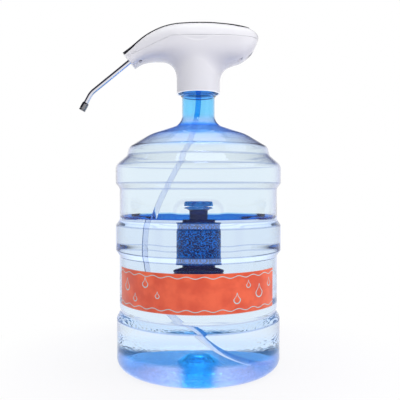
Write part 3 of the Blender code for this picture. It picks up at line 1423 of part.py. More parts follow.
def make_port_cover(parent, rubber):
    """Soft oval flap in the tail, turning about its upper edge."""
    _, turn = port_frame()
    place, out, up = port_axes()
    hinge = place + up * (PORT_HEIGHT / 2) - out * PORT_SETBACK
    pivot = add_empty("port_cover_hinge", hinge, parent)
    pivot.rotation_euler = turn
    low, high = PORT_SETBACK - PORT_RECESS + 2 * GAP, PORT_SETBACK
    rings = []
    steps = PORT_CORNER_STEPS
    outer_share, inner_share = PORT_DOME_SHARES
    for share, z in ((1, low), (1, high - PORT_BULGE), (outer_share, high), (inner_share, high + PORT_BULGE)):
        a, b, corner = PORT_HEIGHT / 2, PORT_WIDTH / 2, PORT_HEIGHT / 2 - GAP
        ring = []
        for k, (sx, sy) in enumerate(((1, 1), (-1, 1), (-1, -1), (1, -1))):
            for j in range(steps + 1):
                angle = math.pi / 2 * (k + j / steps)
                ring.append((
                    share * (sx * (a - corner) + corner * math.cos(angle)) - PORT_HEIGHT / 2,
                    share * (sy * (b - corner) + corner * math.sin(angle)), z,
                ))
        rings.append(ring)
    return add_piece("port_cover", loft(rings), rubber, pivot)


def build():
    clear_scene()
    blue = finish("clear_blue", (0.55, 0.78, 0.95), 0.08, alpha=0.35)
    orange = finish("label_orange", (0.85, 0.16, 0.06), 0.35)
    white = finish("gloss_white", (0.90, 0.90, 0.92), 0.22)
    dark = finish("gloss_black", (0.012, 0.012, 0.014), 0.10)
    grey = finish("grey_rubber", (0.30, 0.30, 0.33), 0.55)
    silver_grey = finish("silver_plastic", (0.60, 0.60, 0.63), 0.30)
    silicone = finish("milky_silicone", (0.86, 0.90, 0.94), 0.30, alpha=0.7)
    chrome = finish("chrome", (0.80, 0.80, 0.82), 0.08, 1.0)
    steel = finish("steel", (0.55, 0.55, 0.57), 0.30, 1.0)
    brass = finish("brass", (0.78, 0.58, 0.24), 0.30, 1.0)
    nylon = finish("nylon", (0.82, 0.81, 0.76), 0.50)
    green = finish("board_green", (0.03, 0.22, 0.10), 0.40)
    black = finish("black_plastic", (0.03, 0.03, 0.03), 0.45)
    wrap = finish("cell_wrap", (0.05, 0.22, 0.55), 0.35)
    amber = finish("lens_blue", (0.30, 0.55, 0.90), 0.15, alpha=0.6)

    axis = add_empty("bottle_axis", ((spout_reach() - BOTTLE_RADIUS) / 2, 0, 0))
    make_bottle(axis, blue)
    make_label(axis, orange)
    route = ((0, 0, inlet_end()),) + SUCTION_ROUTE
    solid_hose("suction_hose", spline(route, HOSE_POINT_SPACING), SUCTION_HOSE_RADIUS, silicone, axis)
    make_housing(axis, white)
    make_panel(axis, dark, silver_grey, amber)
    make_screws(axis, steel, grey)
    make_sleeve(axis, silicone)
    valve_low = make_pump(axis, steel, nylon, grey, brass)
    make_plumbing(axis, valve_low, steel, nylon, silicone, grey)
    make_spout(axis, chrome, silver_grey)
    make_electrics(axis, green, black, steel, wrap)
    make_port_cover(axis, grey)


build()
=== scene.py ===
import math
import bmesh
import bpy
import numpy as np
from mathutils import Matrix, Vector


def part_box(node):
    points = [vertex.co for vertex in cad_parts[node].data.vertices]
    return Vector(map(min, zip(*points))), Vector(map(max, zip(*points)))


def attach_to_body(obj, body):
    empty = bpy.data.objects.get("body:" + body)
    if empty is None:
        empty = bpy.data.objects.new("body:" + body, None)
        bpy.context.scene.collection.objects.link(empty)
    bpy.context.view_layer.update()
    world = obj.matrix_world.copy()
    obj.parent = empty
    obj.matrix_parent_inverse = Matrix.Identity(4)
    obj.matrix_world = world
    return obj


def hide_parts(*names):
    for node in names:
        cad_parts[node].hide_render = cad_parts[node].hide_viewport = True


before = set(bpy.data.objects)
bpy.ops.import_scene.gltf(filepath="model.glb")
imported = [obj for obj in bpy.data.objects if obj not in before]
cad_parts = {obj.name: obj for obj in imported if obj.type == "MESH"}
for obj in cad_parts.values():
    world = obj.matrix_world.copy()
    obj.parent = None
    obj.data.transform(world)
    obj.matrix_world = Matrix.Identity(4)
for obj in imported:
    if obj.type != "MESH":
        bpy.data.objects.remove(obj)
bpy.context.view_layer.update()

print("frame loaded")

# the bottle's upright axis carries everything else
bottleLow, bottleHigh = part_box("bottle")
axisX = (bottleLow.x + bottleHigh.x) / 2
mouth = bottleHigh.z

# Camera

shot = {
    "distance": 0.918,      # from the bottle's axis
    "height": 0.289,
    "lens": 50.0,           # on a 36 mm sensor
    "drop": math.radians(1.134),
    "aside": 0.0027,        # the axis stands a little left of the picture's middle
}

cameraData = bpy.data.cameras.new("camera")
cameraData.lens = shot["lens"]
camera = bpy.data.objects.new("camera", cameraData)
camera.location = (axisX + shot["aside"], -shot["distance"], shot["height"])
camera.rotation_euler = (math.pi / 2 - shot["drop"], 0, 0)
bpy.context.scene.collection.objects.link(camera)
bpy.context.scene.camera = camera


# Mesh helpers: every new piece is a grid of points worked out as one array

def gridFaces(rows, columns, wrap):
    # quads between neighbouring points; wrap joins the last column to the first
    last = columns if wrap else columns - 1
    r, c = np.meshgrid(np.arange(rows - 1), np.arange(last), indexing="ij")
    a = r * columns + c
    b = r * columns + (c + 1) % columns
    return np.stack([a, b, b + columns, a + columns], -1).reshape(-1, 4)


def newPiece(name, points, faces, look=None, sharp=40, ngons=(), slots=None):
    # slots gives each face the number of its look, where there is more than one
    mesh = bpy.data.meshes.new(name)
    mesh.from_pydata(points.reshape(-1, 3).tolist(), [], faces.tolist() + [list(n) for n in ngons])
    if slots is not None:
        mesh.polygons.foreach_set("material_index", slots)
    bm = bmesh.new()
    bm.from_mesh(mesh)
    bmesh.ops.remove_doubles(bm, verts=bm.verts, dist=2e-6)
    bmesh.ops.dissolve_degenerate(bm, edges=bm.edges, dist=1e-6)
    bmesh.ops.recalc_face_normals(bm, faces=bm.faces)
    bm.to_mesh(mesh)
    bm.free()
    mesh.shade_smooth()
    mesh.set_sharp_from_angle(angle=math.radians(sharp))
    piece = bpy.data.objects.new(name, mesh)
    bpy.context.scene.collection.objects.link(piece)
    for one in look if isinstance(look, tuple) else (look,):
        if one is not None:
            mesh.materials.append(one)
    return piece


def outline(corners, arc=math.radians(8)):
    # corners of (radius, height, fillet) made a fine line; each fillet becomes an arc
    line = []
    for i, (a, b, fillet) in enumerate(corners):
        here = np.array((a, b))
        if fillet == 0 or i in (0, len(corners) - 1):
            line.append(here[None])
            continue
        before = np.array(corners[i - 1][:2]) - here
        after = np.array(corners[i + 1][:2]) - here
        lengths = np.linalg.norm(before), np.linalg.norm(after)
        before, after = before / lengths[0], after / lengths[1]
        half = math.acos(np.clip(before @ after, -1, 1)) / 2
        reach = min(fillet / math.tan(half), lengths[0] * 0.49, lengths[1] * 0.49)
        radius = reach * math.tan(half)
        toMiddle = (before + after) / np.linalg.norm(before + after)
        middle = here + toMiddle * radius / math.sin(half)
        start, end = here + before * reach - middle, here + after * reach - middle
        steps = max(math.ceil((math.pi - 2 * half) / arc), 1)
        t = np.linspace(0, 1, steps + 1)[:, None]
        spread = math.pi - 2 * half
        line.append(middle + (np.sin((1 - t) * spread) * start + np.sin(t * spread) * end) / math.sin(spread))
    return np.concatenate(line)


def refine(line, spacing):
    # adds points so that no step of a line is longer than the spacing
    parts = [line[:1]]
    for a, b in zip(line, line[1:]):
        steps = max(math.ceil(np.linalg.norm(b - a) / spacing), 1)
        parts.append(a + (b - a) * np.linspace(0, 1, steps + 1)[1:, None])
    return np.concatenate(parts)


def turned(line, angles):
    # a line of (radius, height) swept round the bottle's axis: x = r cos a, y = r sin a
    r, z = line[:, :1], line[:, 1:]
    return np.stack([r * np.cos(angles), r * np.sin(angles), z + 0 * angles], -1)


def revolved(name, line, sides, look, place=(0, 0, 0), turn=None, closed=True):
    # a closed turned piece; the line may start and end on the axis or be a ring's whole outline
    line = np.array(line, float)
    if closed:
        line = np.concatenate([line, line[:1]])
    points = turned(line, np.linspace(0, math.tau, sides, endpoint=False))
    if turn is not None:
        points = points @ turn.T
    return newPiece(name, points + place, gridFaces(len(line), sides, True), look)


def capped(name, points, look=None, sharp=30):
    # rings of points joined into a solid, with a flat face on the first and on the last ring
    rows, columns = points.shape[:2]
    ends = [list(range(columns)), list(range((rows - 1) * columns, rows * columns))]
    return newPiece(name, points, gridFaces(rows, columns, True), look, sharp, ends)


def boolean(piece, other, operation="DIFFERENCE"):
    # applies one exact cut, union or intersection and removes the tool
    step = piece.modifiers.new("cut", "BOOLEAN")
    step.operation = operation
    step.object = other
    step.solver = "EXACT"
    bpy.context.view_layer.update()
    graph = bpy.context.evaluated_depsgraph_get()
    mesh = bpy.data.meshes.new_from_object(piece.evaluated_get(graph))
    piece.modifiers.clear()
    old = piece.data
    piece.data = mesh
    bpy.data.meshes.remove(old)
    tool = other.data
    bpy.data.objects.remove(other)
    bpy.data.meshes.remove(tool)
    return piece


def attach(piece, body, slot, *nodes):
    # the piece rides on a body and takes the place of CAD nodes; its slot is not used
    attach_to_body(piece, body)
    if nodes:
        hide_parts(*nodes)
    return piece


# Shader maths

class Signal:
    # a shader value: arithmetic on it adds Math nodes, and node() adds any other node
    def __init__(self, socket):
        self.socket = socket

    def node(self, kind, settings=None, inputs=None, output=0):
        # settings are set first, then each socket gets its value or its link
        tree = self.socket.id_data
        made = tree.nodes.new(kind)
        for key, value in (settings or {}).items():
            setattr(made, key, value)
        for key, value in (inputs or {}).items():
            slot = made.inputs[key]
            if isinstance(value, Signal):
                tree.links.new(value.socket, slot)
            else:
                slot.default_value = value
        return Signal(made.outputs[output])

    def maths(self, operation, *values):
        return self.node("ShaderNodeMath", {"operation": operation}, dict(enumerate(values)))

    def __add__(self, other):
        return self.maths("ADD", self, other)

    __radd__ = __add__

    def __sub__(self, other):
        return self.maths("SUBTRACT", self, other)

    def __rsub__(self, other):
        return self.maths("SUBTRACT", other, self)

    def __mul__(self, other):
        return self.maths("MULTIPLY", self, other)

    __rmul__ = __mul__

    def __truediv__(self, other):
        return self.maths("DIVIDE", self, other)

    def __abs__(self):
        return self.maths("ABSOLUTE", self)

    def __pow__(self, other):
        return self.maths("POWER", self, other)

    def smaller(self, other):
        return self.maths("MINIMUM", self, other)

    def larger(self, other):
        return self.maths("MAXIMUM", self, other)

    def step(self, low, high):
        # 0 below low, 1 above high, smooth between; with low above high it falls instead
        inputs = {"Value": self, "From Min": low, "From Max": high, "To Min": 0.0, "To Max": 1.0}
        if low > high:
            inputs.update({"From Min": high, "From Max": low, "To Min": 1.0, "To Max": 0.0})
        return self.node("ShaderNodeMapRange", {"interpolation_type": "SMOOTHSTEP"}, inputs)

    def band(self, low, full, leave, high):
        # rises from low to full and falls again from leave to high
        return self.step(low, full) * self.step(high, leave)

    def blend(self, first, second, kind="MIX"):
        # colours mixed with this value as the factor
        settings = {"data_type": "RGBA", "blend_type": kind}
        both = {}
        for key, colour in ((6, first), (7, second)):
            both[key] = colour if isinstance(colour, Signal) else (*colour, 1)
        return self.node("ShaderNodeMix", settings, {0: self, **both}, 2)

    def axes(self):
        return [self.node("ShaderNodeSeparateXYZ", None, {0: self}, k) for k in range(3)]

    def noise(self, scale, detail=2.0, roughness=0.5):
        return self.node("ShaderNodeTexNoise", None, {
            "Vector": self, "Scale": scale, "Detail": detail, "Roughness": roughness})

    def cells(self, scale):
        return self.node("ShaderNodeTexVoronoi", None, {"Vector": self, "Scale": scale})

    def edgeOn(self):
        # 0 where the surface is seen straight on, 1 where it is seen edge-on
        return self.node("ShaderNodeLayerWeight", None, {"Blend": 0.5}, 1)

    def stretched(self, factors):
        return self.node("ShaderNodeMapping", {"vector_type": "POINT"}, {"Vector": self, "Scale": factors})

    def bump(self, strength, distance):
        return self.node("ShaderNodeBump", None, {"Height": self, "Strength": strength, "Distance": distance})


def newLook(name, settings, where="Object"):
    # a material with one Principled shader; returns it with its shader and its coordinates
    look = bpy.data.materials.new(name)
    look.use_nodes = True
    tree = look.node_tree
    shader = tree.nodes["Principled BSDF"]
    for key, value in settings.items():
        shader.inputs[key].default_value = (*value, 1) if isinstance(value, tuple) else value
    coordinates = tree.nodes.new("ShaderNodeTexCoord")
    return look, shader, Signal(coordinates.outputs[where])


def feed(shader, **links):
    # joins signals to the shader's sockets; a name's capitals mark its words
    for key, value in links.items():
        words = "".join(" " + c if c.isupper() else c for c in key).title()
        shader.id_data.links.new(value.socket, shader.inputs[words])


def mouldedLook(name, colour, roughness, grain, scale=900, coat=0.0, drift=0.03):
    # plastic or rubber: fine grain in the surface, a slow drift in tone and in gloss
    look, shader, place = newLook(name, {"Base Color": colour, "Roughness": roughness, "Coat Weight": coat})
    slow = place.noise(22, 3)
    fine = place.noise(scale, 4, 0.6)
    darker = tuple(max(c * (1 - drift * 2.2), 0) for c in colour)
    lighter = tuple(min(c * (1 + drift), 1) for c in colour)
    tone = slow * 0.7 + fine * 0.3
    feed(shader, baseColor=tone.step(0.25, 0.75).blend(darker, lighter))
    feed(shader, roughness=roughness * 0.9 + slow * roughness * 0.2)
    feed(shader, normal=fine.bump(grain, 0.0002))
    return look


def metalLook(name, colour, roughness, along=(1, 1, 1), streak=0.3, scale=260):
    # drawn or plated metal: streaks along one direction in gloss and a little in tone
    look, shader, place = newLook(name, {"Base Color": colour, "Roughness": roughness, "Metallic": 1.0})
    lines = place.stretched(along).noise(scale, 5, 0.65)
    cloud = place.noise(60, 2)
    dark = tuple(c * (1 - streak * 0.25) for c in colour)
    feed(shader, baseColor=(lines * 0.6 + cloud * 0.4).step(0.3, 0.7).blend(dark, colour))
    feed(shader, roughness=roughness * (1 - streak * 0.5) + lines * roughness * streak)
    feed(shader, normal=lines.bump(streak * 0.15, 0.0001))
    return look


# Suction hose: a free hose from the fitting in the deck down into the water

hoseFacts = {
    "radius": 0.0045,
    "bore": 0.0030,
    "boreDepth": 0.030,
    "chamfer": 0.0004,
    "chamferLength": 0.0005,
    "boreChamfer": 0.0003,
    "top": 0.4873,
    "sides": 20,
    "spacing": 0.0028,
    "pale": (0.84, 0.87, 0.97),
    "deep": (0.76, 0.79, 0.95),
    "inNeck": (0.06, 0.52, 0.97),
    "neckFoot": (0.395, 0.412),     # heights between which the colour turns
    "roughness": 0.12,
    "clear": 0.96,
    "ior": 1.08,
}

# the route's points, from the bottle's axis
hoseRoute = np.array((
    (0.000, 0.000, hoseFacts["top"]),
    (0.000, 0.000, 0.4600),
    (0.000, 0.000, 0.4330),
    (-0.003, -0.001, 0.4060),
    (-0.012, -0.003, 0.3740),
    (-0.025, -0.008, 0.3440),
    (-0.038, -0.018, 0.3170),
    (-0.051, -0.034, 0.2900),
    (-0.062, -0.052, 0.2640),
    (-0.070, -0.067, 0.2360),
    (-0.074, -0.077, 0.2050),
    (-0.073, -0.083, 0.1740),
    (-0.066, -0.086, 0.1440),
    (-0.050, -0.088, 0.1160),
    (-0.027, -0.087, 0.0920),
    (0.000, -0.080, 0.0700),
    (0.026, -0.068, 0.0460),
    (0.052, -0.053, 0.0280),
    (0.076, -0.037, 0.0155),
    (0.099, -0.020, 0.0095),
))


def smoothPath(points, spacing):
    # Catmull-Rom: each span is a cubic whose end slopes are half the step between the neighbours
    ends = np.concatenate([points[:1] * 2 - points[1:2], points, points[-1:] * 2 - points[-2:-1]])
    t = np.linspace(0, 1, 24, endpoint=False)[:, None]
    spans = []
    for a, b, c, d in zip(ends, ends[1:], ends[2:], ends[3:]):
        spans.append(0.5 * (
            2 * b + (c - a) * t + (2 * a - 5 * b + 4 * c - d) * t ** 2 + (3 * b - a - 3 * c + d) * t ** 3))
    dense = np.concatenate(spans + [points[-1:]])
    travel = np.concatenate([[0], np.cumsum(np.linalg.norm(np.diff(dense, axis=0), axis=1))])
    even = np.linspace(0, travel[-1], max(round(travel[-1] / spacing), 2) + 1)
    return np.stack([np.interp(even, travel, dense[:, k]) for k in range(3)], -1), travel[-1]


def pathFrames(path, first=(0, 1, 0)):
    # two directions across the path at each point, carried along it without twist
    ahead = np.gradient(path, axis=0)
    ahead /= np.linalg.norm(ahead, axis=1)[:, None]
    side = np.array(first, float)
    sides = []
    for way in ahead:
        side = side - way * (side @ way)
        side /= np.linalg.norm(side)
        sides.append(side)
    sides = np.array(sides)
    return ahead, sides, np.cross(ahead, sides)


def alongPath(path, rows, columns, first=(0, 1, 0)):
    # profile rows of (share of the path's points, radius) carried along a path: p + r (cos a side + sin a up)
    ahead, side, up = pathFrames(path, first)
    index = np.array([row[0] for row in rows], float) * (len(path) - 1)
    low = np.clip(np.floor(index).astype(int), 0, len(path) - 2)
    part = (index - low)[:, None]

    def at(values):
        return values[low] * (1 - part) + values[low + 1] * part

    radius = np.array([row[1] for row in rows])[:, None, None]
    angle = np.linspace(0, math.tau, columns, endpoint=False)[None, :, None]
    return at(path)[:, None] + radius * (np.cos(angle) * at(side)[:, None] + np.sin(angle) * at(up)[:, None])


hosePath, hoseLength = smoothPath(hoseRoute, hoseFacts["spacing"])
hosePath = hosePath + (axisX, 0, 0)
radius, bore = hoseFacts["radius"], hoseFacts["bore"]
inner = 1 - hoseFacts["boreDepth"] / hoseLength
edge = hoseFacts["chamferLength"] / hoseLength
narrow = radius - hoseFacts["chamfer"]
hoseRows = [(0, 0), (0, narrow), (edge, radius)]
hoseRows += [(share, radius) for share in np.linspace(0, 1, len(hosePath))[1:-1]]
hoseRows += [(1 - edge, radius), (1, narrow), (1, bore + hoseFacts["boreChamfer"]), (1 - edge, bore)]
hoseRows += [(share, bore) for share in np.linspace(1, inner, 10)[1:]] + [(inner, 0)]
points = alongPath(hosePath, hoseRows, hoseFacts["sides"])

hoseLook, shader, place = newLook("milkySilicone", {
    "Base Color": hoseFacts["pale"], "Roughness": hoseFacts["roughness"],
    "Transmission Weight": hoseFacts["clear"], "IOR": hoseFacts["ior"],
})
film = place.noise(140, 3)
milk = film.step(0.3, 0.7).blend(hoseFacts["deep"], hoseFacts["pale"])
feed(shader, baseColor=place.axes()[2].step(*hoseFacts["neckFoot"]).blend(milk, hoseFacts["inNeck"]))
feed(shader, roughness=hoseFacts["roughness"] * 0.7 + film * hoseFacts["roughness"] * 0.6)
feed(shader, normal=place.stretched((1, 1, 0.2)).noise(700, 3).bump(0.08, 0.0002))

hose = newPiece("suctionHose", points, gridFaces(len(points), hoseFacts["sides"], True), hoseLook, 50)
attach(hose, "pump_head", "silicone", "suction_hose")
print("suction hose", round(hoseLength * 1000), "mm")


# Bottle: a blown shell with the grip's pocket pushed in at the back

bottleFacts = {
    "wall": 0.0016,
    "thickBase": 0.0030,
    "thickens": (0.01, 0.05),             # heights between which the wall grows to the base
    "neck": 0.0269,
    "neckLip": 0.0278,
    "tint": (0.865, 0.93, 0.975),
    "wetTint": (0.77, 0.855, 0.960),      # the wall under water
    "lowTint": (0.89, 0.945, 0.985),
    "neckTint": (0.42, 0.78, 0.985),
    "domeTint": (0.60, 0.78, 1.0),
    "throatTint": (0.24, 0.54, 1.0),      # the thicker ring where the neck turns into the dome
    # painted glow on the dome round the throat
    "throatGlow": (0.010, 0.035, 0.110),
    "footTint": (0.015, 0.46, 0.96),      # the thick base, inside the heel
    "footGlow": (0.000, 0.065, 0.180),    # painted glow, standing in for light that the stippled base scatters
    "stippleTint": (0.13, 0.66, 0.99),
    "heelTint": (0.76, 0.87, 0.99),
    # painted light on the near half of the heel
    "heelGlow": (0.085, 0.090, 0.160),
    "slopeReflection": (0.070, 0.090, 0.130),   # painted reflection of the white room on the near slopes of the middle band
    "ribShade": (0.66, 0.70, 0.86),        # painted shade: darker lines along the edges of the steps and bands
    "ribs": (0.3430, 0.3275, 0.2985, 0.2895, 0.2400, 0.2310, 0.1905, 0.1815, 0.0930, 0.0810),
    "ribHalf": 0.0022,
    "edgeTint": (0.46, 0.45, 0.76),       # where the wall is seen edge-on and is thicker to the eye
    "gloss": (0.45, 0.50, 0.65),          # how much a wall mirrors when seen straight on
    "roughness": 0.015,
    "ior": 1.46,
    "wetIor": 1.46 / 1.333,               # from the plastic into the water
    "steepIor": 1.06,                     # the pocket's sides, so that they trap no light
    "waterLevel": 0.2455,
}

# where a tint or a glow comes in: none at the first value, all at the second, and four values make a band
bottleZones = {
    "heel": (0.034, 0.010),
    "low": (0.105, 0.080),
    "neck": (0.402, 0.414),
    "neckRing": (0.4385, 0.4400, 0.4450, 0.4465),
    "dome": (0.345, 0.372),
    "domeAround": (0.112, 0.045),
    "domeGlow": (0.345, 0.385, 0.390, 0.400),
    "domeGlowAround": (0.112, 0.050),
    "throat": (0.380, 0.390),
    "throatAround": (0.029, 0.034, 0.044, 0.060),
    "foot": (0.034, 0.026),
    "footAround": (0.104, 0.088),
    "footFade": (0.050, 0.020),
    "heelGlow": (0.037, 0.029),
    "paleBack": (-0.020, -0.060),
    "paleAside": (0.022, 0.040),
    "edgeOn": (0.40, 0.96),
    "edgeFade": (0.075, 0.045),
    "slopes": ((0.2312, 0.2330, 0.2385, 0.2400), (0.1815, 0.1835, 0.1890, 0.1908)),
    "slopesBack": (0.02, -0.02),
}

# corners of the outer wall: radius, height, rounding
neck, neckLip = bottleFacts["neck"], bottleFacts["neckLip"]
bottleCorners = [
    (neckLip, mouth, 0), (neckLip, 0.4785, 0.0004), (neck, 0.4778, 0.0004),
    (neck, 0.4446, 0.0006), (0.0288, 0.4438, 0.0010), (0.0288, 0.4408, 0.0010), (neck, 0.4398, 0.0008),
    (neck, 0.3955, 0.020), (0.0800, 0.3775, 0.060), (0.1135, 0.3570, 0.009), (0.1170, 0.3430, 0.009),
    (0.1350, 0.3275, 0.014), (0.1350, 0.2985, 0.0065), (0.1287, 0.2895, 0.0055),
    (0.1287, 0.2400, 0.0055), (0.1350, 0.2310, 0.0065), (0.1350, 0.1905, 0.0065), (0.1290, 0.1815, 0.0055),
    (0.1290, 0.0985, 0.003), (0.1265, 0.0930, 0.0035), (0.1336, 0.0810, 0.0065),
    (0.1335, 0.0000, 0.0335), (0.0995, 0.0000, 0.0020), (0.0920, 0.0020, 0.004), (0.0780, 0.0120, 0.008),
    (0.0240, 0.0125, 0.009), (0.0125, 0.0240, 0.006), (0, 0.0240, 0),
]

pocketFacts = {
    "halfWidth": 0.043,
    "low": 0.136,
    "high": 0.264,
    "corner": 0.016,
    "floor": 0.083,             # from the bottle's axis
    "draft": 0.0100,
    "behind": 0.03,             # only what lies further back is pushed in
    "backAngle": 34,            # degrees to each side of the back where columns are closer
    "edgeAngles": (15, 24),     # and where they are closest
    "columns": (105, 28, 148),  # at the back, at each edge, and on the rest
    "rows": (0.0011, 0.005, 0.006),     # spacing near the ends, along the pocket, and elsewhere
    "nearEnd": 0.012,
    "past": 0.01,
    "steepPush": 0.0004,        # a wall pushed in this far and this far off the floor is steep
    "steepRise": 0.0006,
}


def roundedBox(x, z, halfWidth, halfHeight, corner):
    # distance to a rounded rectangle: |max(q, 0)| + min(max(q), 0) - corner, q = |p| - half + corner
    qx, qz = np.abs(x) - halfWidth + corner, np.abs(z) - halfHeight + corner
    outside = np.hypot(np.maximum(qx, 0), np.maximum(qz, 0))
    return outside + np.minimum(np.maximum(qx, qz), 0) - corner


def smoothStep(value, low, high):
    # 3 t t - 2 t t t, with t the clamped share of the way from low to high
    t = np.clip((value - low) / (high - low), 0, 1)
    return t * t * (3 - 2 * t)


def pushPocket(points, grown):
    # y becomes floor - grown where the distance to the pocket's outline is under grown, with a drafted edge
    x, y, z = points[..., 0], points[..., 1], points[..., 2]
    facts = pocketFacts
    middle = (facts["low"] + facts["high"]) / 2
    away = roundedBox(x, z - middle, facts["halfWidth"], (facts["high"] - facts["low"]) / 2, facts["corner"])
    share = 1 - smoothStep(away - grown, -facts["draft"], facts["draft"])
    behind = np.where(y > facts["behind"], share, 0)
    floor = facts["floor"] - grown
    points[..., 1] = y * (1 - behind) + np.minimum(y, floor) * behind
    return points


def bottleAngles():
    # columns round the bottle, crowded where the pocket's edges lie
    wide, (near, far) = pocketFacts["backAngle"], pocketFacts["edgeAngles"]
    backCount, edgeCount, restCount = pocketFacts["columns"]
    back = np.linspace(-wide, wide, backCount)
    edges = np.concatenate([np.linspace(-far, -near, edgeCount), np.linspace(near, far, edgeCount)])
    rest = np.linspace(wide, 360 - wide, restCount)
    degrees = np.unique(np.round(np.concatenate([back, edges, rest]), 3))
    degrees = degrees[degrees < 360 - wide - 0.01]
    keep = np.concatenate([[True], np.diff(degrees) > 0.12])
    return np.radians(90 + degrees[keep])


def crowdRows(line):
    # points closer together where the pocket's ends lie
    low, high, past = pocketFacts["low"], pocketFacts["high"], pocketFacts["past"]
    atEnds, along, elsewhere = pocketFacts["rows"]
    fine = []
    for a, b in zip(line, line[1:]):
        near = min(abs(a[1] - low), abs(a[1] - high)) < pocketFacts["nearEnd"]
        spacing = atEnds if near else along if low - past < a[1] < high + past else elsewhere
        steps = max(math.ceil(np.linalg.norm(b - a) / spacing), 1)
        fine.append(a + (b - a) * np.linspace(0, 1, steps, endpoint=False)[:, None])
    return np.concatenate(fine + [line[-1:]])


arc = math.radians(9)
outerLine = crowdRows(refine(outline(bottleCorners, arc), 0.004))
innerSource = crowdRows(refine(outline([(neck, mouth, 0)] + bottleCorners[7:], arc), 0.004))
firstWet = int(np.argmax(innerSource[:, 1] < bottleFacts["waterLevel"]))
above, below = innerSource[firstWet - 1], innerSource[firstWet]
meeting = above + (below - above) * (above[1] - bottleFacts["waterLevel"]) / (above[1] - below[1])
innerSource = np.concatenate([innerSource[:firstWet], meeting[None], innerSource[firstWet:]])
thick = 1 - smoothStep(innerSource[:, 1], *bottleFacts["thickens"])
innerDepth = bottleFacts["wall"] + (bottleFacts["thickBase"] - bottleFacts["wall"]) * thick
innerLine = innerSource.copy()
ahead = np.gradient(innerSource, axis=0)
ahead /= np.linalg.norm(ahead, axis=1)[:, None]
innerLine += innerDepth[:, None] * np.stack([ahead[:, 1], -ahead[:, 0]], -1)
innerLine[0, 1] = mouth
innerLine[:, 0] = np.maximum(innerLine[:, 0], 0)
innerLine[-1, 0] = 0

angles = bottleAngles()
outerWall = pushPocket(turned(outerLine, angles), 0)
innerWall = pushPocket(turned(innerLine, angles), bottleFacts["wall"])
shellPoints = np.concatenate([outerWall[::-1], innerWall])
unpushed = np.concatenate([turned(outerLine, angles)[::-1], turned(innerLine, angles)])
pushed = unpushed[..., 1] - shellPoints[..., 1] > pocketFacts["steepPush"]
steep = pushed & (shellPoints[..., 1] > pocketFacts["floor"] + pocketFacts["steepRise"])
shellPoints[..., 0] += axisX


def clearPlastic(name, ior, body):
    # the wall's tint changes with height, with distance from the axis and with the angle it is seen at
    facts, zones = bottleFacts, bottleZones
    look, shader, place = newLook(name, {
        "Base Color": body, "Roughness": facts["roughness"], "Transmission Weight": 1.0, "IOR": ior,
        "Specular Tint": facts["gloss"], "Emission Strength": 1.0,
    })
    across, back, height = place.axes()
    around = ((across - axisX) ** 2.0 + back ** 2.0) ** 0.5
    heel = height.step(*zones["heel"])
    tint = (height.step(*zones["dome"]) * around.step(*zones["domeAround"])).blend(body, facts["domeTint"])
    tint = height.step(*zones["low"]).blend(tint, facts["lowTint"])
    tint = (height.step(*zones["throat"]) * around.band(*zones["throatAround"])).blend(tint, facts["throatTint"])
    tint = height.step(*zones["neck"]).blend(tint, facts["neckTint"])
    tint = heel.blend(tint, facts["heelTint"])
    half = facts["ribHalf"]
    # painted shade along the edges of the steps and bands
    ribLine = sum(height.band(edge - half, edge, edge, edge + half) for edge in facts["ribs"])
    tint = ribLine.blend(tint, ribLine.blend((1, 1, 1), facts["ribShade"]), "MULTIPLY")
    # painted light: the near half of the base is paler, but for the punt's middle
    wander = place.noise(90, 2) * 0.016
    pale = back.step(*zones["paleBack"]) * (abs(across - axisX) + wander).step(*zones["paleAside"])
    rough = (place.noise(260, 3, 0.7) - 0.5) * 0.050
    foot = (height + rough * 0.15).step(*zones["foot"]) * (around + rough).step(*zones["footAround"])
    foot = foot * (1 - pale * 0.85)
    stipple = place.cells(300).step(0.15, 0.75)
    tint = foot.blend(tint, stipple.blend(facts["footTint"], facts["stippleTint"]))
    tint = height.band(*zones["neckRing"]).blend(tint, facts["throatTint"])
    edgeOn = place.edgeOn().step(*zones["edgeOn"]) * (1 - height.step(*zones["edgeFade"]) * 0.6)
    feed(shader, baseColor=edgeOn.blend(tint, edgeOn.blend((1, 1, 1), facts["edgeTint"]), "MULTIPLY"))
    ripple = place.stretched((1, 1, 0.5)).noise(14, 2)
    feed(shader, normal=(ripple * 0.6 + heel * place.cells(420) * 1.2).bump(0.35, 0.0012))
    # painted glow on the dome round the throat
    dome = height.band(*zones["domeGlow"]) * around.step(*zones["domeGlowAround"])
    # painted glow on the stippled base and a little above it
    glow = (foot + height.step(*zones["footFade"]) * 0.4) * stipple
    # painted light on the near half of the heel
    bright = height.step(*zones["heelGlow"]) * pale * (0.5 + stipple * 0.5)
    light = glow.blend(dome.blend((0, 0, 0), facts["throatGlow"]), facts["footGlow"])
    light = bright.blend(light, facts["heelGlow"])
    # painted reflection: a glow on the near slopes of the middle band stands in for the white room they mirror
    slopes = sum(height.band(*slope) for slope in zones["slopes"]) * back.step(*zones["slopesBack"])
    feed(shader, emissionColor=slopes.blend(light, facts["slopeReflection"]))
    return look


bottleLook = clearPlastic("clearBluePlastic", bottleFacts["ior"], bottleFacts["tint"])
wetLook = clearPlastic("clearBluePlasticWet", bottleFacts["wetIor"], bottleFacts["wetTint"])
steepLook = clearPlastic("clearBluePlasticSteep", bottleFacts["steepIor"], bottleFacts["tint"])
shellFaces = gridFaces(len(shellPoints), len(angles), True)
faceRow = shellFaces[:, 0] // len(angles)
wallLooks = (faceRow >= len(outerWall) + firstWet).astype(int)
wallLooks[steep.ravel()[shellFaces].any(1) & (wallLooks == 0)] = 2
shell = newPiece("bottleShell", shellPoints, shellFaces, (bottleLook, wetLook, steepLook), 50, (), wallLooks)
attach(shell, "bottle", "clear_bottle", "bottle")
print("bottle", len(shell.data.polygons), "faces")


# Grip: a hollow bar across the pocket with a stippled sleeve on its middle

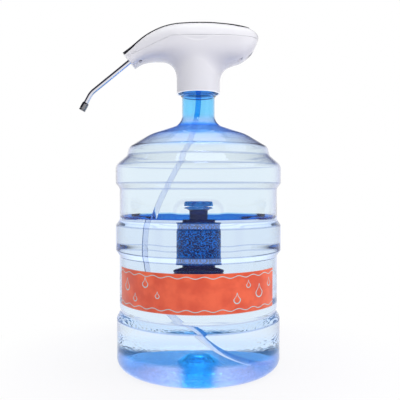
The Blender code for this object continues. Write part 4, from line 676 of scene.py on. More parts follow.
gripFacts = {
    "y": 0.115,
    "bar": 0.0125,
    "sleeve": 0.0172,
    "sleeveLow": 0.1610,
    "sleeveHigh": 0.2220,
    "flare": 0.0195,
    "waist": 0.0140,        # between the flare and the bar
    "wide": 1.38,           # its width over its depth
    "wall": 0.0016,
    "depth": 0.0012,        # how far the ends reach into the pocket's walls
    "sides": 96,
    "dark": (0.000, 0.006, 0.130),
    # painted glints on the stippled sleeve
    "bright": (0.020, 0.340, 0.980),
    "cap": (0.005, 0.110, 0.520),           # the flared ends
    "capPale": (0.060, 0.420, 0.900),
    # painted glow on the glints and on the flared ends
    "glow": (0.000, 0.030, 0.110),
    "stippled": (0.1600, 0.1612, 0.2218, 0.2230),
}

low, high = pocketFacts["low"] - gripFacts["depth"], pocketFacts["high"] + gripFacts["depth"]
bar, sleeve, flare, wall = gripFacts["bar"], gripFacts["sleeve"], gripFacts["flare"], gripFacts["wall"]
sleeveLow, sleeveHigh, waist = gripFacts["sleeveLow"], gripFacts["sleeveHigh"], gripFacts["waist"]
gripOuter = refine(outline([
    (flare * 0.94, low, 0), (flare, low + 0.003, 0.003), (flare, low + 0.0105, 0.004), (waist, low + 0.0150, 0.003),
    (bar, low + 0.0165, 0.001), (bar, sleeveLow - 0.0035, 0.002), (sleeve, sleeveLow, 0.0015),
    (sleeve, sleeveHigh, 0.0015), (bar, sleeveHigh + 0.0035, 0.002), (bar, high - 0.0165, 0.001),
    (waist, high - 0.0150, 0.003), (flare, high - 0.0105, 0.004), (flare, high - 0.003, 0.003), (flare * 0.94, high, 0),
], math.radians(12)), 0.0028)
gripInner = refine(np.array([
    (flare - wall, high), (bar - wall, high - 0.008), (bar - wall, low + 0.008), (flare - wall, low)]), 0.006)
gripLine = np.concatenate([gripOuter, gripInner, gripOuter[:1]])
gripPoints = turned(gripLine, np.linspace(0, math.tau, gripFacts["sides"], endpoint=False))
gripPoints[..., 0] *= gripFacts["wide"]
gripPoints += (axisX, gripFacts["y"], 0)
gripLook, shader, place = newLook("gripBlue", {
    "Base Color": gripFacts["dark"], "Roughness": 0.10, "IOR": 1.30, "Specular Tint": (0.2, 0.4, 0.9),
    "Emission Strength": 1.0,
})
height = place.axes()[2]
textured = height.band(*gripFacts["stippled"])
spark = place.cells(480)
cloud = place.noise(60, 2)
# painted glints: bright specks on the stippled sleeve
shine = (spark * textured * 0.9 + cloud * 0.5).step(0.50, 0.92)
caps = height.step(high - 0.0150, high - 0.0125)
capTone = cloud.step(0.40, 0.62).blend(gripFacts["cap"], gripFacts["capPale"])
feed(shader, baseColor=caps.blend(shine.blend(gripFacts["dark"], gripFacts["bright"]), capTone))
# painted glow on the glints and on the flared ends
feed(shader, emissionColor=(shine + caps).smaller(1.0).blend((0, 0, 0), gripFacts["glow"]))
feed(shader, roughness=0.08 + cloud * 0.08)
feed(shader, normal=(textured * spark).bump(0.9, 0.0016))
grip = newPiece("gripBar", gripPoints, gridFaces(len(gripLine), gripFacts["sides"], True), gripLook)
attach(grip, "bottle", "clear_bottle")


# Water: its sides lie on the wet wall, which bends the light, so only its top shows

waterFacts = {
    "apart": 0.00005,     # from the wall
    "creep": 0.0022,      # how far the surface climbs at the wall
    "reach": 0.0030,      # how quickly it falls away from the wall
    "pale": (0.34, 0.70, 0.97),
    "deep": (0.0002, 0.040, 0.480),     # the top seen almost level
}

depth = innerDepth[firstWet:] + waterFacts["apart"]
wetLine = innerSource[firstWet:] + depth[:, None] * np.stack([ahead[firstWet:, 1], -ahead[firstWet:, 0]], -1)
wetLine[:, 0] = np.maximum(wetLine[:, 0], 0)
wetLine[-1, 0] = 0
rim = wetLine[0, 0]
# the surface's height: level - c + c exp(-d / reach), with d the distance from the wall and c the creep
share = np.concatenate([[0, 0.3, 0.6, 0.8, 0.9, 0.95], 1 - np.geomspace(0.035, 0.002, 6)])
flat = bottleFacts["waterLevel"] - waterFacts["creep"]
climb = waterFacts["creep"] * np.exp(-(1 - share) * rim / waterFacts["reach"])
surfaceLine = np.stack([rim * share, flat + climb], -1)
waterLine = np.concatenate([surfaceLine, wetLine])
waterPoints = pushPocket(turned(waterLine, angles), bottleFacts["wall"] + waterFacts["apart"])
waterPoints[..., 0] += axisX
topLook, shader, place = newLook("waterTop", {
    "Base Color": waterFacts["pale"], "Roughness": 0.0, "Transmission Weight": 1.0, "IOR": 1.0,
})
feed(shader, baseColor=place.edgeOn().step(0.70, 0.92).blend(waterFacts["pale"], waterFacts["deep"]))
sideLook, shader, place = newLook("waterSide", {"Base Color": (0.8, 0.9, 1.0), "Alpha": 0.0, "Roughness": 0.5})
waterFaces = gridFaces(len(waterPoints), len(angles), True)
sideFaces = (waterFaces[:, 0] // len(angles) >= len(surfaceLine)).astype(int)
water = newPiece("water", waterPoints, waterFaces, (topLook, sideLook), 60, (), sideFaces)
attach(water, "bottle", "clear_bottle")
print("water")


# Label: a thin wrapped film with drops and waves round a bare middle

labelFacts = {
    "low": 0.1086,
    "height": 0.0590,
    "radius": 0.1294,
    "thickness": 0.0003,
    "left": math.radians(-68),
    "right": math.radians(62.5),
    "columns": 160,
    "colour": (0.93, 0.135, 0.048),
    "deep": (0.76, 0.080, 0.026),
    "pale": (0.48, 0.70, 0.70),
    "edge": (0.80, 0.28, 0.16),
    # open drops: place along and up the film, size and line, all in millimetres
    "drops": (
        (26, 33, 6.5, 1.1), (48, 17, 4.2, 0.9), (70, 41, 5.2, 1.0), (92, 25, 3.4, 0.8),
        (212, 20, 5.4, 1.0), (232, 40, 3.8, 0.8), (254, 27, 7.0, 1.1), (280, 38, 4.4, 0.9),
    ),
    "waves": (5.6, 53.4),       # their heights in millimetres
    "waveLength": 26,
    "waveDepth": 1.5,
}

columns = labelFacts["columns"]
turnShare = np.linspace(0, 1, columns)
turnAngle = labelFacts["left"] + (labelFacts["right"] - labelFacts["left"]) * turnShare
rise = labelFacts["height"] * np.array([0, 0, 0.004, 0.25, 0.5, 0.75, 0.996, 1, 1, 0.75, 0.5, 0.25, 0])
out = labelFacts["thickness"] * np.array([0, 0.7, 1, 1, 1, 1, 1, 0.7, 0, 0, 0, 0, 0])
labelRadius = labelFacts["radius"] + out
labelPoints = np.stack([
    labelRadius[:, None] * np.sin(turnAngle) + axisX,
    -labelRadius[:, None] * np.cos(turnAngle),
    labelFacts["low"] + rise[:, None] + 0 * turnAngle,
], -1)
rows = len(rise)
ends = [list(range(0, rows * columns, columns))[:-1], list(range(columns - 1, rows * columns, columns))[:-1]]
labelLook, shader, place = newLook(
    "labelFilm", {"Base Color": labelFacts["colour"], "Roughness": 0.32, "Coat Weight": 0.10}, "UV")
across, up, _ = place.axes()


def ringMask(cx, cy, size, line):
    # an open drop: a circle whose upper half is drawn to a point
    dx, dy = across - cx, up - cy
    narrowing = (dy / size).larger(0.0) * 0.75
    spread = abs(dx) * (1 + narrowing * narrowing * 2.2)
    tall = dy * (1 - (dy / size).step(0, 1.5) * 0.42)
    away = (spread * spread + tall * tall) ** 0.5 - size
    return abs(away).step(line, line * 0.45)


mask = None
for drop in labelFacts["drops"]:
    ring = ringMask(*drop)
    mask = ring if mask is None else mask.larger(ring)
for base in labelFacts["waves"]:
    sway = across.maths("SINE", across * (math.tau / labelFacts["waveLength"])) * labelFacts["waveDepth"]
    mask = mask.larger(abs(up - base - sway).step(0.75, 0.3))
paper = across.node("ShaderNodeCombineXYZ", None, {0: across * 0.001, 1: up * 0.001, 2: 0.0})
ink = paper.noise(30, 3).step(0.35, 0.65).blend(labelFacts["deep"], labelFacts["colour"])
half = labelFacts["height"] * 500
margin = abs(up - half).step(half - 0.9, half - 0.5)
feed(shader, baseColor=(margin * 0.5).blend(mask.blend(ink, labelFacts["pale"]), labelFacts["edge"]))
feed(shader, roughness=0.26 + paper.noise(55, 2) * 0.14)
feed(shader, normal=paper.stretched((1, 0.4, 1)).noise(24, 3).bump(0.12, 0.0010))
label = newPiece("bottleLabel", labelPoints, gridFaces(rows, columns, False), labelLook, 30, ends)
uv = label.data.uv_layers.new(name="film")
corner = np.zeros(len(label.data.loops), int)
label.data.loops.foreach_get("vertex_index", corner)
at = np.zeros(len(label.data.vertices) * 3)
label.data.vertices.foreach_get("co", at)
at = at.reshape(-1, 3)[corner]
turnedBy = np.arctan2(at[:, 0] - axisX, -at[:, 1]) - labelFacts["left"]
flat = np.stack([turnedBy * labelFacts["radius"], at[:, 2] - labelFacts["low"]], -1) * 1000
uv.data.foreach_set("uv", flat.ravel())
attach(label, "bottle", "label_film", "label")
print("label")


# Pump head: one smooth form, drawn out to the nose and flowing down into the skirt

headFacts = {
    "nose": 0.128,
    "tail": 0.098,
    "floor": mouth - 0.017,
    "crown": 0.5592,
    "halfWidth": 0.038,
    "square": 2.5,          # power of the sections' superellipse
    "skirt": 0.0355,
    "skirtWall": 0.0025,
    "skirtFoot": mouth - 0.042,
    "skirtTop": 0.520,
    "wall": 0.0024,
    "flowLong": 0.030,      # how softly the skirt flows into the belly, fore and aft
    "flowSide": 0.007,
    "deckLow": mouth + 0.0018,
    "deckHigh": mouth + 0.0063,
    "deckHole": 0.0043,
    "parting": 0.532,
    "partingFront": 0.042,
    "partingDrop": 0.034,
    "partingGap": 0.0004,
    "gap": 0.0003,
    "fall": math.radians(39),
    "faceX": -0.113,
    "faceZ": mouth + 0.011,
    "voxel": 0.0012,
    "boxEnds": (-0.136, 0.103),     # the grid's box, a little larger than the head
    "boxHalf": 0.044,
    "boxTop": 0.566,
    "boxUnder": 0.006,              # how far it reaches below the skirt's foot
    "white": (0.80, 0.80, 0.825),
    "whiteLow": (0.785, 0.785, 0.815),
    "whiteHigh": (0.82, 0.82, 0.84),
    # painted glow on the skirt's foot
    "footGlow": (0.34, 0.35, 0.38),
}

# along the head: share of its length, underside, top and half width as shares
headTable = np.array((
    (0.000, 0.000, 0.420, 0.50), (0.080, 0.145, 0.568, 0.55), (0.146, 0.265, 0.703, 0.63),
    (0.212, 0.314, 0.814, 0.73), (0.301, 0.323, 0.917, 0.85), (0.389, 0.312, 0.973, 0.935),
    (0.478, 0.278, 0.993, 0.985), (0.566, 0.256, 1.000, 1.000), (0.655, 0.244, 0.998, 1.000),
    (0.743, 0.239, 0.981, 0.985), (0.810, 0.250, 0.964, 0.945), (0.876, 0.298, 0.937, 0.855),
    (0.929, 0.389, 0.906, 0.710), (0.965, 0.497, 0.862, 0.540), (0.987, 0.615, 0.816, 0.350),
    (1.000, 0.705, 0.775, 0.140),
))


def headRows(x):
    # cubic Hermite curves through the table: underside, top and half width at each place along X
    share = np.clip((x + headFacts["nose"]) / (headFacts["nose"] + headFacts["tail"]), -0.06, 1.0)
    at = headTable[:, 0]
    i = np.clip(np.searchsorted(at, np.maximum(share, 0), side="right") - 1, 0, len(at) - 2)
    before, after, beyond = np.maximum(i - 1, 0), i + 1, np.minimum(i + 2, len(at) - 1)
    span = at[after] - at[i]
    t = (share - at[i]) / span
    found = []
    for k in (1, 2, 3):
        v = headTable[:, k]
        m0 = (v[after] - v[before]) / (at[after] - at[before]) * span
        m1 = (v[beyond] - v[i]) / (at[beyond] - at[i]) * span
        found.append(
            v[i] * (2 * t ** 3 - 3 * t ** 2 + 1) + m0 * (t ** 3 - 2 * t ** 2 + t)
            + v[after] * (3 * t ** 2 - 2 * t ** 3) + m1 * (t ** 3 - t ** 2))
    floor, height = headFacts["floor"], headFacts["crown"] - headFacts["floor"]
    return floor + found[0] * height, floor + found[1] * height, found[2] * headFacts["halfWidth"]


def headTop(x, y):
    # height of the skin: middle + half height (1 - |y / w| ** n) ** (1 / n)
    low, high, wide = headRows(x)
    share = np.minimum(np.abs(y) / wide, 1)
    return (low + high) / 2 + (high - low) / 2 * (1 - share ** headFacts["square"]) ** (1 / headFacts["square"])


def bellyField(p, drawnIn=0.0):
    # under 0 inside: (|y / w| ** n + |z / h| ** n) ** (1 / n) - 1, times the smaller half size, and the tail's end
    low, high, wide = headRows(p[:, 0])
    wide, tall = wide - drawnIn, (high - low) / 2 - drawnIn
    n = headFacts["square"]
    q = (np.abs(p[:, 1] / wide) ** n + np.abs((p[:, 2] - (low + high) / 2) / tall) ** n) ** (1 / n)
    section = (q - 1) * np.minimum(wide, tall)
    return np.maximum(section, p[:, 0] - headFacts["tail"] + drawnIn)


def headField(p):
    # smooth union of belly and skirt: min(a, b) - k/4 h h, h = max(k - |a - b|, 0) / k
    belly = bellyField(p)
    away = np.hypot(p[:, 0], p[:, 1])
    skirt = np.maximum(away - headFacts["skirt"], p[:, 2] - headFacts["skirtTop"])
    fore = (p[:, 0] / np.maximum(away, 1e-6)) ** 2
    k = headFacts["flowSide"] + (headFacts["flowLong"] - headFacts["flowSide"]) * fore
    h = np.maximum(k - np.abs(belly - skirt), 0) / k
    return np.minimum(belly, skirt) - h * h * k / 4


def solidOf(field, low, high, spacing, name, look=None):
    # surface nets: a point in each cell that the surface crosses, a quad round each crossed grid edge
    axes = [np.arange(a, b + spacing, spacing) for a, b in zip(low, high)]
    grid = np.stack(np.meshgrid(*axes, indexing="ij"), -1)
    sizes = grid.shape[:3]
    inside = (field(grid.reshape(-1, 3)) < 0).reshape(sizes)
    for axis in range(3):
        edgeRows = np.moveaxis(inside, axis, 0)
        edgeRows[:2] = edgeRows[-2:] = False
    corners = [inside[i:sizes[0] - 1 + i, j:sizes[1] - 1 + j, k:sizes[2] - 1 + k]
               for i in (0, 1) for j in (0, 1) for k in (0, 1)]
    crossed = np.any(corners, axis=0) & ~np.all(corners, axis=0)
    number = np.full(crossed.shape, -1)
    number[crossed] = np.arange(crossed.sum())
    points = grid[:-1, :-1, :-1][crossed] + spacing / 2
    faces = []
    unit = np.eye(3, dtype=int)
    for axis in range(3):
        swung = np.moveaxis(inside, axis, 0)
        for way in (0, 1):
            found = swung[:-1] & ~swung[1:] if way == 0 else ~swung[:-1] & swung[1:]
            cell = np.argwhere(np.moveaxis(found, 0, axis))
            u, v = unit[(axis + 1) % 3], unit[(axis + 2) % 3]
            ring = [cell - u - v, cell - v, cell, cell - u]
            if way == 1:
                ring = ring[::-1]
            faces.append(np.stack([number[tuple(c.T)] for c in ring], -1))
    return relaxed(field, points, np.concatenate(faces), name, look)


def relaxed(field, points, faces, name, look, rounds=14):
    # neighbours are averaged and the points pulled back onto the surface, p - f g / (g g), by no more than a step
    edges = np.unique(np.sort(np.concatenate([faces[:, [k, (k + 1) % 4]] for k in range(4)]), axis=1), axis=0)
    count = np.bincount(edges.ravel(), minlength=len(points))[:, None]
    e, ease, step = 2e-5, 0.6, 0.0015
    for _ in range(rounds):
        total = np.zeros_like(points)
        np.add.at(total, edges[:, 0], points[edges[:, 1]])
        np.add.at(total, edges[:, 1], points[edges[:, 0]])
        points = points * (1 - ease) + total / count * ease
        for _ in range(2):
            value = field(points)
            slope = np.stack([(field(points + d) - field(points - d)) / (2 * e) for d in np.eye(3) * e], -1)
            move = value[:, None] * slope / np.maximum((slope ** 2).sum(1)[:, None], 1e-3)
            length = np.linalg.norm(move, axis=1)[:, None]
            points = points - move * np.minimum(1, step / np.maximum(length, 1e-9))
    return newPiece(name, points + (axisX, 0, 0), faces, look, 180)


def trimmed(piece, place, outward):
    # cuts a closed mesh by a plane and closes it again
    bm = bmesh.new()
    bm.from_mesh(piece.data)
    cutLine = bmesh.ops.bisect_plane(
        bm, geom=bm.verts[:] + bm.edges[:] + bm.faces[:], plane_co=place, plane_no=outward, clear_outer=True)
    edges = [g for g in cutLine["geom_cut"] if isinstance(g, bmesh.types.BMEdge)]
    bmesh.ops.edgeloop_fill(bm, edges=edges)
    bm.to_mesh(piece.data)
    bm.free()
    return piece


def partingHeight(x):
    # level, then falling evenly to the nose
    return headFacts["parting"] - headFacts["partingDrop"] * np.maximum(-headFacts["partingFront"] - x, 0) / (
        headFacts["nose"] - headFacts["partingFront"])


def partingBlock(above):
    # everything above or below the parting line, less half of the gap
    shift = headFacts["partingGap"] / 2 * (1 if above else -1)
    far = 0.10 if above else -0.15
    x = np.array((-0.150, -headFacts["partingFront"], 0.120))
    line = np.stack([x, partingHeight(x) + shift], -1)
    ring = np.concatenate([line, line[::-1] + (0, far)])
    return capped("parting", np.array([[(axisX + a, y, b) for a, b in ring] for y in (-0.06, 0.06)]), None, 1)


def headLoft(name, depth, columns=72):
    # superellipses along X, drawn in by a depth, closed at the tail and trimmed behind the nose
    facts = headFacts
    x = np.linspace(-facts["nose"] - 0.006, facts["tail"] - depth - facts["gap"], 120)
    low, high, wide = headRows(x)
    angle = np.linspace(0, math.tau, columns, endpoint=False)
    power = 2 / facts["square"]
    c, s = np.cos(angle), np.sin(angle)
    y = np.sign(c) * np.abs(c) ** power * (wide - depth)[:, None]
    z = ((low + high) / 2)[:, None] + np.sign(s) * np.abs(s) ** power * ((high - low) / 2 - depth)[:, None]
    return capped(name, np.stack([axisX + x[:, None] + 0 * y, y, z], -1), None, 180)


spoutAlong = np.array((-math.cos(headFacts["fall"]), 0, -math.sin(headFacts["fall"])))
spoutBend = np.array((math.sin(headFacts["fall"]), 0, -math.cos(headFacts["fall"])))
noseFace = np.array((axisX + headFacts["faceX"], 0, headFacts["faceZ"]))
spoutTurn = np.stack([spoutBend, np.cross(spoutAlong, spoutBend), spoutAlong], -1)


def whitePlastic():
    # gloss over a slow drift in tone; a painted glow on the skirt's foot stands in for light from the clear dome below
    # it
    look, shader, place = newLook("whiteGloss", {
        "Base Color": headFacts["white"], "Roughness": 0.24, "Coat Weight": 0.35, "Coat Roughness": 0.12,
        "Emission Strength": 1.0,
    })
    slow = place.noise(16, 3)
    feed(shader, baseColor=slow.step(0.25, 0.75).blend(headFacts["whiteLow"], headFacts["whiteHigh"]))
    feed(shader, roughness=0.20 + slow * 0.08)
    feed(shader, normal=place.noise(1500, 3, 0.6).bump(0.05, 0.0001))
    lit = place.axes()[2].step(headFacts["skirtFoot"] + 0.0012, headFacts["skirtFoot"] + 0.0004)
    feed(shader, emissionColor=lit.blend((0, 0, 0), headFacts["footGlow"]))
    return look


portFacts = {
    "fromTail": 0.0135,
    "height": 0.0120,
    "width": 0.0180,
    "recess": 0.0030,
    "seat": 0.0027,         # how deep the flap's own seat is
    "seatGap": 0.0003,
    "flapGap": 0.0002,
    "square": 2.6,
}

# the port's own frame lies on the skin under the tail
portX = headFacts["tail"] - portFacts["fromTail"]
halfHigh, halfWide = portFacts["height"] / 2, portFacts["width"] / 2
rowLow = headRows(np.array((portX - halfHigh, portX + halfHigh)))[0]
portUp = np.array((2 * halfHigh, 0, rowLow[1] - rowLow[0]))
portUp /= np.linalg.norm(portUp)
portOut = np.array((portUp[2], 0, -portUp[0]))
portPlace = np.array((axisX + portX, 0, rowLow.mean()))
portTurn = np.stack([portUp, np.cross(portOut, portUp), portOut], -1)


def brick(low, high, turn=((1, 0, 0), (0, 1, 0), (0, 0, 1)), place=(0, 0, 0)):
    # a plain block between two corners, turned and then placed
    low, high = np.array(low), np.array(high)
    ring = [(0, 0), (1, 0), (1, 1), (0, 1)]
    points = np.array([[low + (high - low) * (a, b, c) for a, b in ring] for c in (0, 1)])
    return capped("brick", points @ np.array(turn).T + place)


def rod(radius, low, high, place, turn=None, sides=40):
    # a plain cylinder between two heights
    return revolved("rod", [(0, low), (radius, low), (radius, high), (0, high)], sides, None, place, turn, closed=False)


def oval(rows, high, wide, name="block", look=None):
    # rounded outlines stacked outwards from the skin: (share, height), |x| = h |cos a| ** n, |y| = w |sin a| ** n
    angle = np.linspace(0, math.tau, 64, endpoint=False)
    n = 2 / portFacts["square"]
    ring = np.stack([np.sign(np.cos(angle)) * np.abs(np.cos(angle)) ** n * high,
                     np.sign(np.sin(angle)) * np.abs(np.sin(angle)) ** n * wide], -1)
    points = np.array([np.column_stack([ring * share, np.full(64, out)]) for share, out in rows])
    return newPiece(name, points @ portTurn.T + portPlace, gridFaces(len(rows), 64, True), look, 35)


def ovalBlock(low, high, grown):
    # a block of the port's own outline, a little larger all round, between two heights out of the skin
    return oval([(0.001, low), (1, low), (1, high), (0.001, high)], halfHigh + grown, halfWide + grown)


whiteLook = whitePlastic()
(boxLow, boxHigh), boxHalf = headFacts["boxEnds"], headFacts["boxHalf"]
form = solidOf(
    headField, (boxLow, -boxHalf, headFacts["skirtFoot"] - headFacts["boxUnder"]),
    (boxHigh, boxHalf, headFacts["boxTop"]), headFacts["voxel"], "skirtHousing", whiteLook)
trimmed(form, (axisX, 0, headFacts["skirtFoot"]), (0, 0, -1))
trimmed(form, noseFace, spoutAlong)
print("head form", len(form.data.polygons), "faces")
cover = bpy.data.objects.new("crownCover", form.data.copy())
bpy.context.scene.collection.objects.link(cover)

chamber = headLoft("chamber", headFacts["wall"])
trimmed(chamber, noseFace - spoutAlong * 0.003, spoutAlong)
coverChamber = bpy.data.objects.new("coverChamber", chamber.data.copy())
bpy.context.scene.collection.objects.link(coverChamber)
bore = headFacts["skirt"] - headFacts["skirtWall"]
foot, deckLow, deckHigh = headFacts["skirtFoot"], headFacts["deckLow"], headFacts["deckHigh"]
well = revolved("well", [
    (0, foot - 0.01), (bore + 0.0008, foot - 0.01), (bore + 0.0008, foot), (bore, foot + 0.0008),
    (bore, deckLow), (headFacts["deckHole"], deckLow), (headFacts["deckHole"], deckHigh),
    (bore, deckHigh), (bore, 0.512), (0, 0.512),
], 96, None, (axisX, 0, 0), closed=False)
boolean(chamber, well, "UNION")

# the chambers leave bosses, cradles, posts, the spout's collar and the socket's seat standing
insideFacts = {
    "low": 0.480,                         # rods reach from here
    "high": 0.570,                        # to here, past the inside of the head
    "boss": 0.0050,
    "pocket": 0.0033,
    "pocketDepth": 0.020,
    "shank": 0.0017,
    "engage": 0.0083,
    "cradles": (-0.019, 0.020),
    "cradle": 0.0024,
    "cradleHalf": 0.029,
    "boardPosts": ((-0.016, -0.011), (-0.016, 0.011), (0.038, -0.011), (0.038, 0.011)),
    "post": 0.0025,
    "collar": 0.0097,
    "collarLength": 0.0125,
    "bed": (-0.0243, 0.041),              # the round beds of the cell and the pump, along X
    "slot": (-0.025, 0.0415),             # the cell's way in from above
    "slotTop": 0.530,
    "usb": (0.0034, 0.0090, 0.0074),      # height, width, depth
    "usbWall": 0.0018,
}
cell, board, case = (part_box(name) for name in ("battery_cell", "control_board", "pump_case"))
cellMiddle, caseMiddle = (cell[0] + cell[1]) / 2, (case[0] + case[1]) / 2
screws = []
for name in ("front_left", "front_right", "rear_left", "rear_right"):
    low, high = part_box("cover_screw_" + name)
    screws.append(((low.x + high.x) / 2, (low.y + high.y) / 2, low.z))
for x, y, _ in screws:
    for hollow in (chamber, coverChamber):
        boolean(hollow, rod(insideFacts["boss"], insideFacts["low"], insideFacts["high"], (x, y, 0)))
half = insideFacts["cradle"] / 2
for x in insideFacts["cradles"]:
    boolean(chamber, brick(
        (axisX + x - half, -insideFacts["cradleHalf"], deckLow + 0.002),
        (axisX + x + half, insideFacts["cradleHalf"], caseMiddle.z)))
for x, y in insideFacts["boardPosts"]:
    boolean(coverChamber, rod(
        insideFacts["post"], board[1].z + headFacts["gap"], insideFacts["high"], (axisX + x, y, 0)))
boolean(chamber, rod(insideFacts["collar"], -insideFacts["collarLength"], 0, noseFace, spoutTurn))
seatEnd = -portFacts["recess"] - headFacts["wall"]
boolean(chamber, ovalBlock(seatEnd, 0.01, headFacts["wall"]))
usb = np.array(insideFacts["usb"]) / 2
around = usb + insideFacts["usbWall"]
usbEnd = -portFacts["recess"] - insideFacts["usb"][2]
boolean(chamber, brick(
    (-around[0], -around[1], usbEnd), (around[0], around[1], seatEnd + 0.001), portTurn, portPlace))

boolean(form, chamber)
boolean(form, partingBlock(False), "INTERSECT")
boolean(cover, coverChamber)
boolean(cover, partingBlock(True), "INTERSECT")
pocket, shank = insideFacts["pocket"], insideFacts["shank"]
for x, y, head in screws:
    start, tip = head - insideFacts["pocketDepth"], float(partingHeight(np.array(x - axisX))) + insideFacts["engage"]
    drill = [(0, start), (pocket, start), (pocket, head), (shank, head), (shank, tip), (0, tip)]
    for half in (form, cover):
        boolean(half, revolved("drill", drill, 40, None, (x, y, 0), closed=False))
alongX = np.array(((0, 0, 1), (0, 1, 0), (-1, 0, 0)))
bedLow, bedHigh = insideFacts["bed"]
for middle, low, high in ((cellMiddle, *cell), (caseMiddle, *case)):
    size = (high.z - low.z) / 2 + headFacts["gap"]
    boolean(form, rod(size, axisX + bedLow, axisX + bedHigh, (0, middle.y, middle.z), alongX))
slotLow, slotHigh = insideFacts["slot"]
boolean(form, brick(
    (axisX + slotLow, cell[0].y - headFacts["gap"], cellMiddle.z),
    (axisX + slotHigh, cell[1].y + headFacts["gap"], insideFacts["slotTop"])))
hole = usb + headFacts["gap"]
boolean(form, brick((-hole[0], -hole[1], usbEnd - 0.001), (hole[0], hole[1], 0), portTurn, portPlace))
print("housing halves", len(form.data.polygons), len(cover.data.polygons))


# Crown panel: a glossy dark strip that follows the skin, with its seat in the cover

panelFacts = {
    "front": 0.1245,
    "rear": 0.084,
    "halfWidth": 0.0226,
    "noseShare": 0.76,
    "proud": 0.0011,
    "thickness": 0.0023,
    "edge": 0.0003,
    "button": 0.014,
    "buttonRadius": 0.0080,
    "buttonGap": 0.0004,
    "lens": 0.034,
    "lensHole": (0.0126, 0.0036),
    "holes": (0.540, 0.545, 0.570),         # foot of the button's hole, foot of the lens's, and their top
    "tone": (0.012, 0.012, 0.014),
    "toneLow": (0.010, 0.010, 0.012),
    "toneHigh": (0.018, 0.018, 0.021),
    "lensTone": (0.42, 0.66, 0.95),
    "lensLow": (0.34, 0.58, 0.92),
    "lensHigh": (0.5, 0.74, 0.98),
}


def panelStrip(name, grown, low, high, look=None, edge=0.0):
    # the skin's height plus an offset, over a strip whose rounded end closes at the tail
    facts = panelFacts
    front, rear = -facts["front"] - 0.004, facts["rear"] + grown
    x = front + (rear - front) * np.sin(np.pi / 2 * np.linspace(0, 1, 130))
    grow = np.clip((x + facts["front"]) / facts["front"], 0, 1)
    half = facts["halfWidth"] * (facts["noseShare"] + (1 - facts["noseShare"]) * np.sin(np.pi / 2 * grow))
    left = np.clip((rear - x) / (facts["halfWidth"] + grown), 0, 1)
    half = half * np.sqrt(np.maximum(1 - (1 - left) ** 2, 1e-4)) + grown
    t = np.linspace(-1, 1, 41)
    top = np.stack([t * (1 - edge / facts["halfWidth"]), high + 0 * t], -1)
    bottom = np.stack([t[::-1], low + 0 * t], -1)
    bevel = np.array([(1, high - edge)] if edge else []).reshape(-1, 2)
    ring = np.concatenate([top, bevel, bottom, bevel * (-1, 1)])
    y = half[:, None] * ring[:, 0]
    x = x[:, None] + 0 * y
    return capped(name, np.stack([axisX + x, y, headTop(x, y) + ring[:, 1]], -1), look, 35)


panelLook, shader, place = newLook("blackGloss", {
    "Base Color": panelFacts["tone"], "Roughness": 0.08, "Coat Weight": 0.6, "Coat Roughness": 0.04,
})
haze = place.noise(18, 3)
feed(shader, baseColor=haze.step(0.3, 0.7).blend(panelFacts["toneLow"], panelFacts["toneHigh"]))
feed(shader, roughness=0.06 + haze * 0.06)
feed(shader, normal=place.noise(9, 2).bump(0.04, 0.0015))
proud, thickness = panelFacts["proud"], panelFacts["thickness"]
panel = panelStrip("crownPanel", 0, proud - thickness, proud, panelLook, panelFacts["edge"])
trimmed(panel, noseFace, spoutAlong)
seatDepth = thickness - proud + headFacts["gap"]
boolean(cover, panelStrip("seat", headFacts["gap"], -seatDepth, 0.005))

wellRadius = panelFacts["buttonRadius"] + panelFacts["buttonGap"]
buttonX = axisX + panelFacts["button"]
buttonFoot, lensFoot, holeTop = panelFacts["holes"]
for piece, radius in ((panel, wellRadius), (cover, wellRadius + 0.0002)):
    boolean(piece, rod(radius, buttonFoot, holeTop, (buttonX, 0, 0), sides=64))


def slotted(low, high, length, width, place, name, look=None, steps=12):
    # a lozenge with round ends, standing between two heights
    angle = np.linspace(-np.pi / 2, np.pi / 2, steps + 1)
    end = np.stack([length / 2 - width / 2 + width / 2 * np.cos(angle), width / 2 * np.sin(angle)], -1)
    ring = np.concatenate([end, -end])
    points = np.array([np.column_stack([ring, np.full(len(ring), z)]) for z in (low, high)]) + place
    return capped(name, points, look)


lensLow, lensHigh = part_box("indicator_lens")
lensX = axisX + panelFacts["lens"]
for piece in (panel, cover):
    boolean(piece, slotted(lensFoot, holeTop, *panelFacts["lensHole"], (lensX, 0, 0), "lensHole"))
attach(panel, "pump_head", "black_panel", "top_panel")

lensLook, shader, place = newLook("lensBlue", {
    "Base Color": panelFacts["lensTone"], "Roughness": 0.12, "Transmission Weight": 0.5,
})
feed(shader, baseColor=place.noise(300, 2).step(0.3, 0.7).blend(panelFacts["lensLow"], panelFacts["lensHigh"]))
lens = slotted(
    lensLow.z, lensHigh.z, lensHigh.x - lensLow.x, lensHigh.y - lensLow.y, (lensX, 0, 0), "statusLens", lensLook)
attach(lens, "pump_head", "lens", "indicator_lens")

silverLook = mouldedLook("silverSatin", (0.60, 0.60, 0.63), 0.28, 0.12, 1200, 0.3)
buttonLow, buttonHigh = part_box("power_button")
low, top, rim = buttonLow.z, buttonHigh.z, panelFacts["buttonRadius"]
button = revolved("pressButton", refine(outline([
    (0, low, 0), (0.0022, low, 0.0003), (0.0022, top - 0.0040, 0.0004), (rim, top - 0.0040, 0.0003),
    (rim, top, 0.0009), (rim - 0.0014, top, 0.0004), (rim - 0.0022, top - 0.0003, 0.0008), (0, top - 0.0006, 0),
], math.radians(12)), 0.0012), 64, silverLook, (buttonX, 0, 0), closed=False)
attach(button, "button", "silver_plastic", "power_button")


# Spout: bright bent tube in the nose and the nozzle on its end

spoutFacts = {
    "radius": 0.004,
    "wall": 0.0006,
    "insert": 0.014,
    "straight": 0.0755,
    "bend": math.radians(22.5),
    "bendRadius": 0.030,
    "last": 0.0265,
    "socket": 0.0073,
    "passage": 0.0043,
    "tipRadius": 0.0055,
    "tipLength": 0.0145,
    "chrome": (0.74, 0.74, 0.80),
    "nozzle": (0.24, 0.24, 0.26),
}

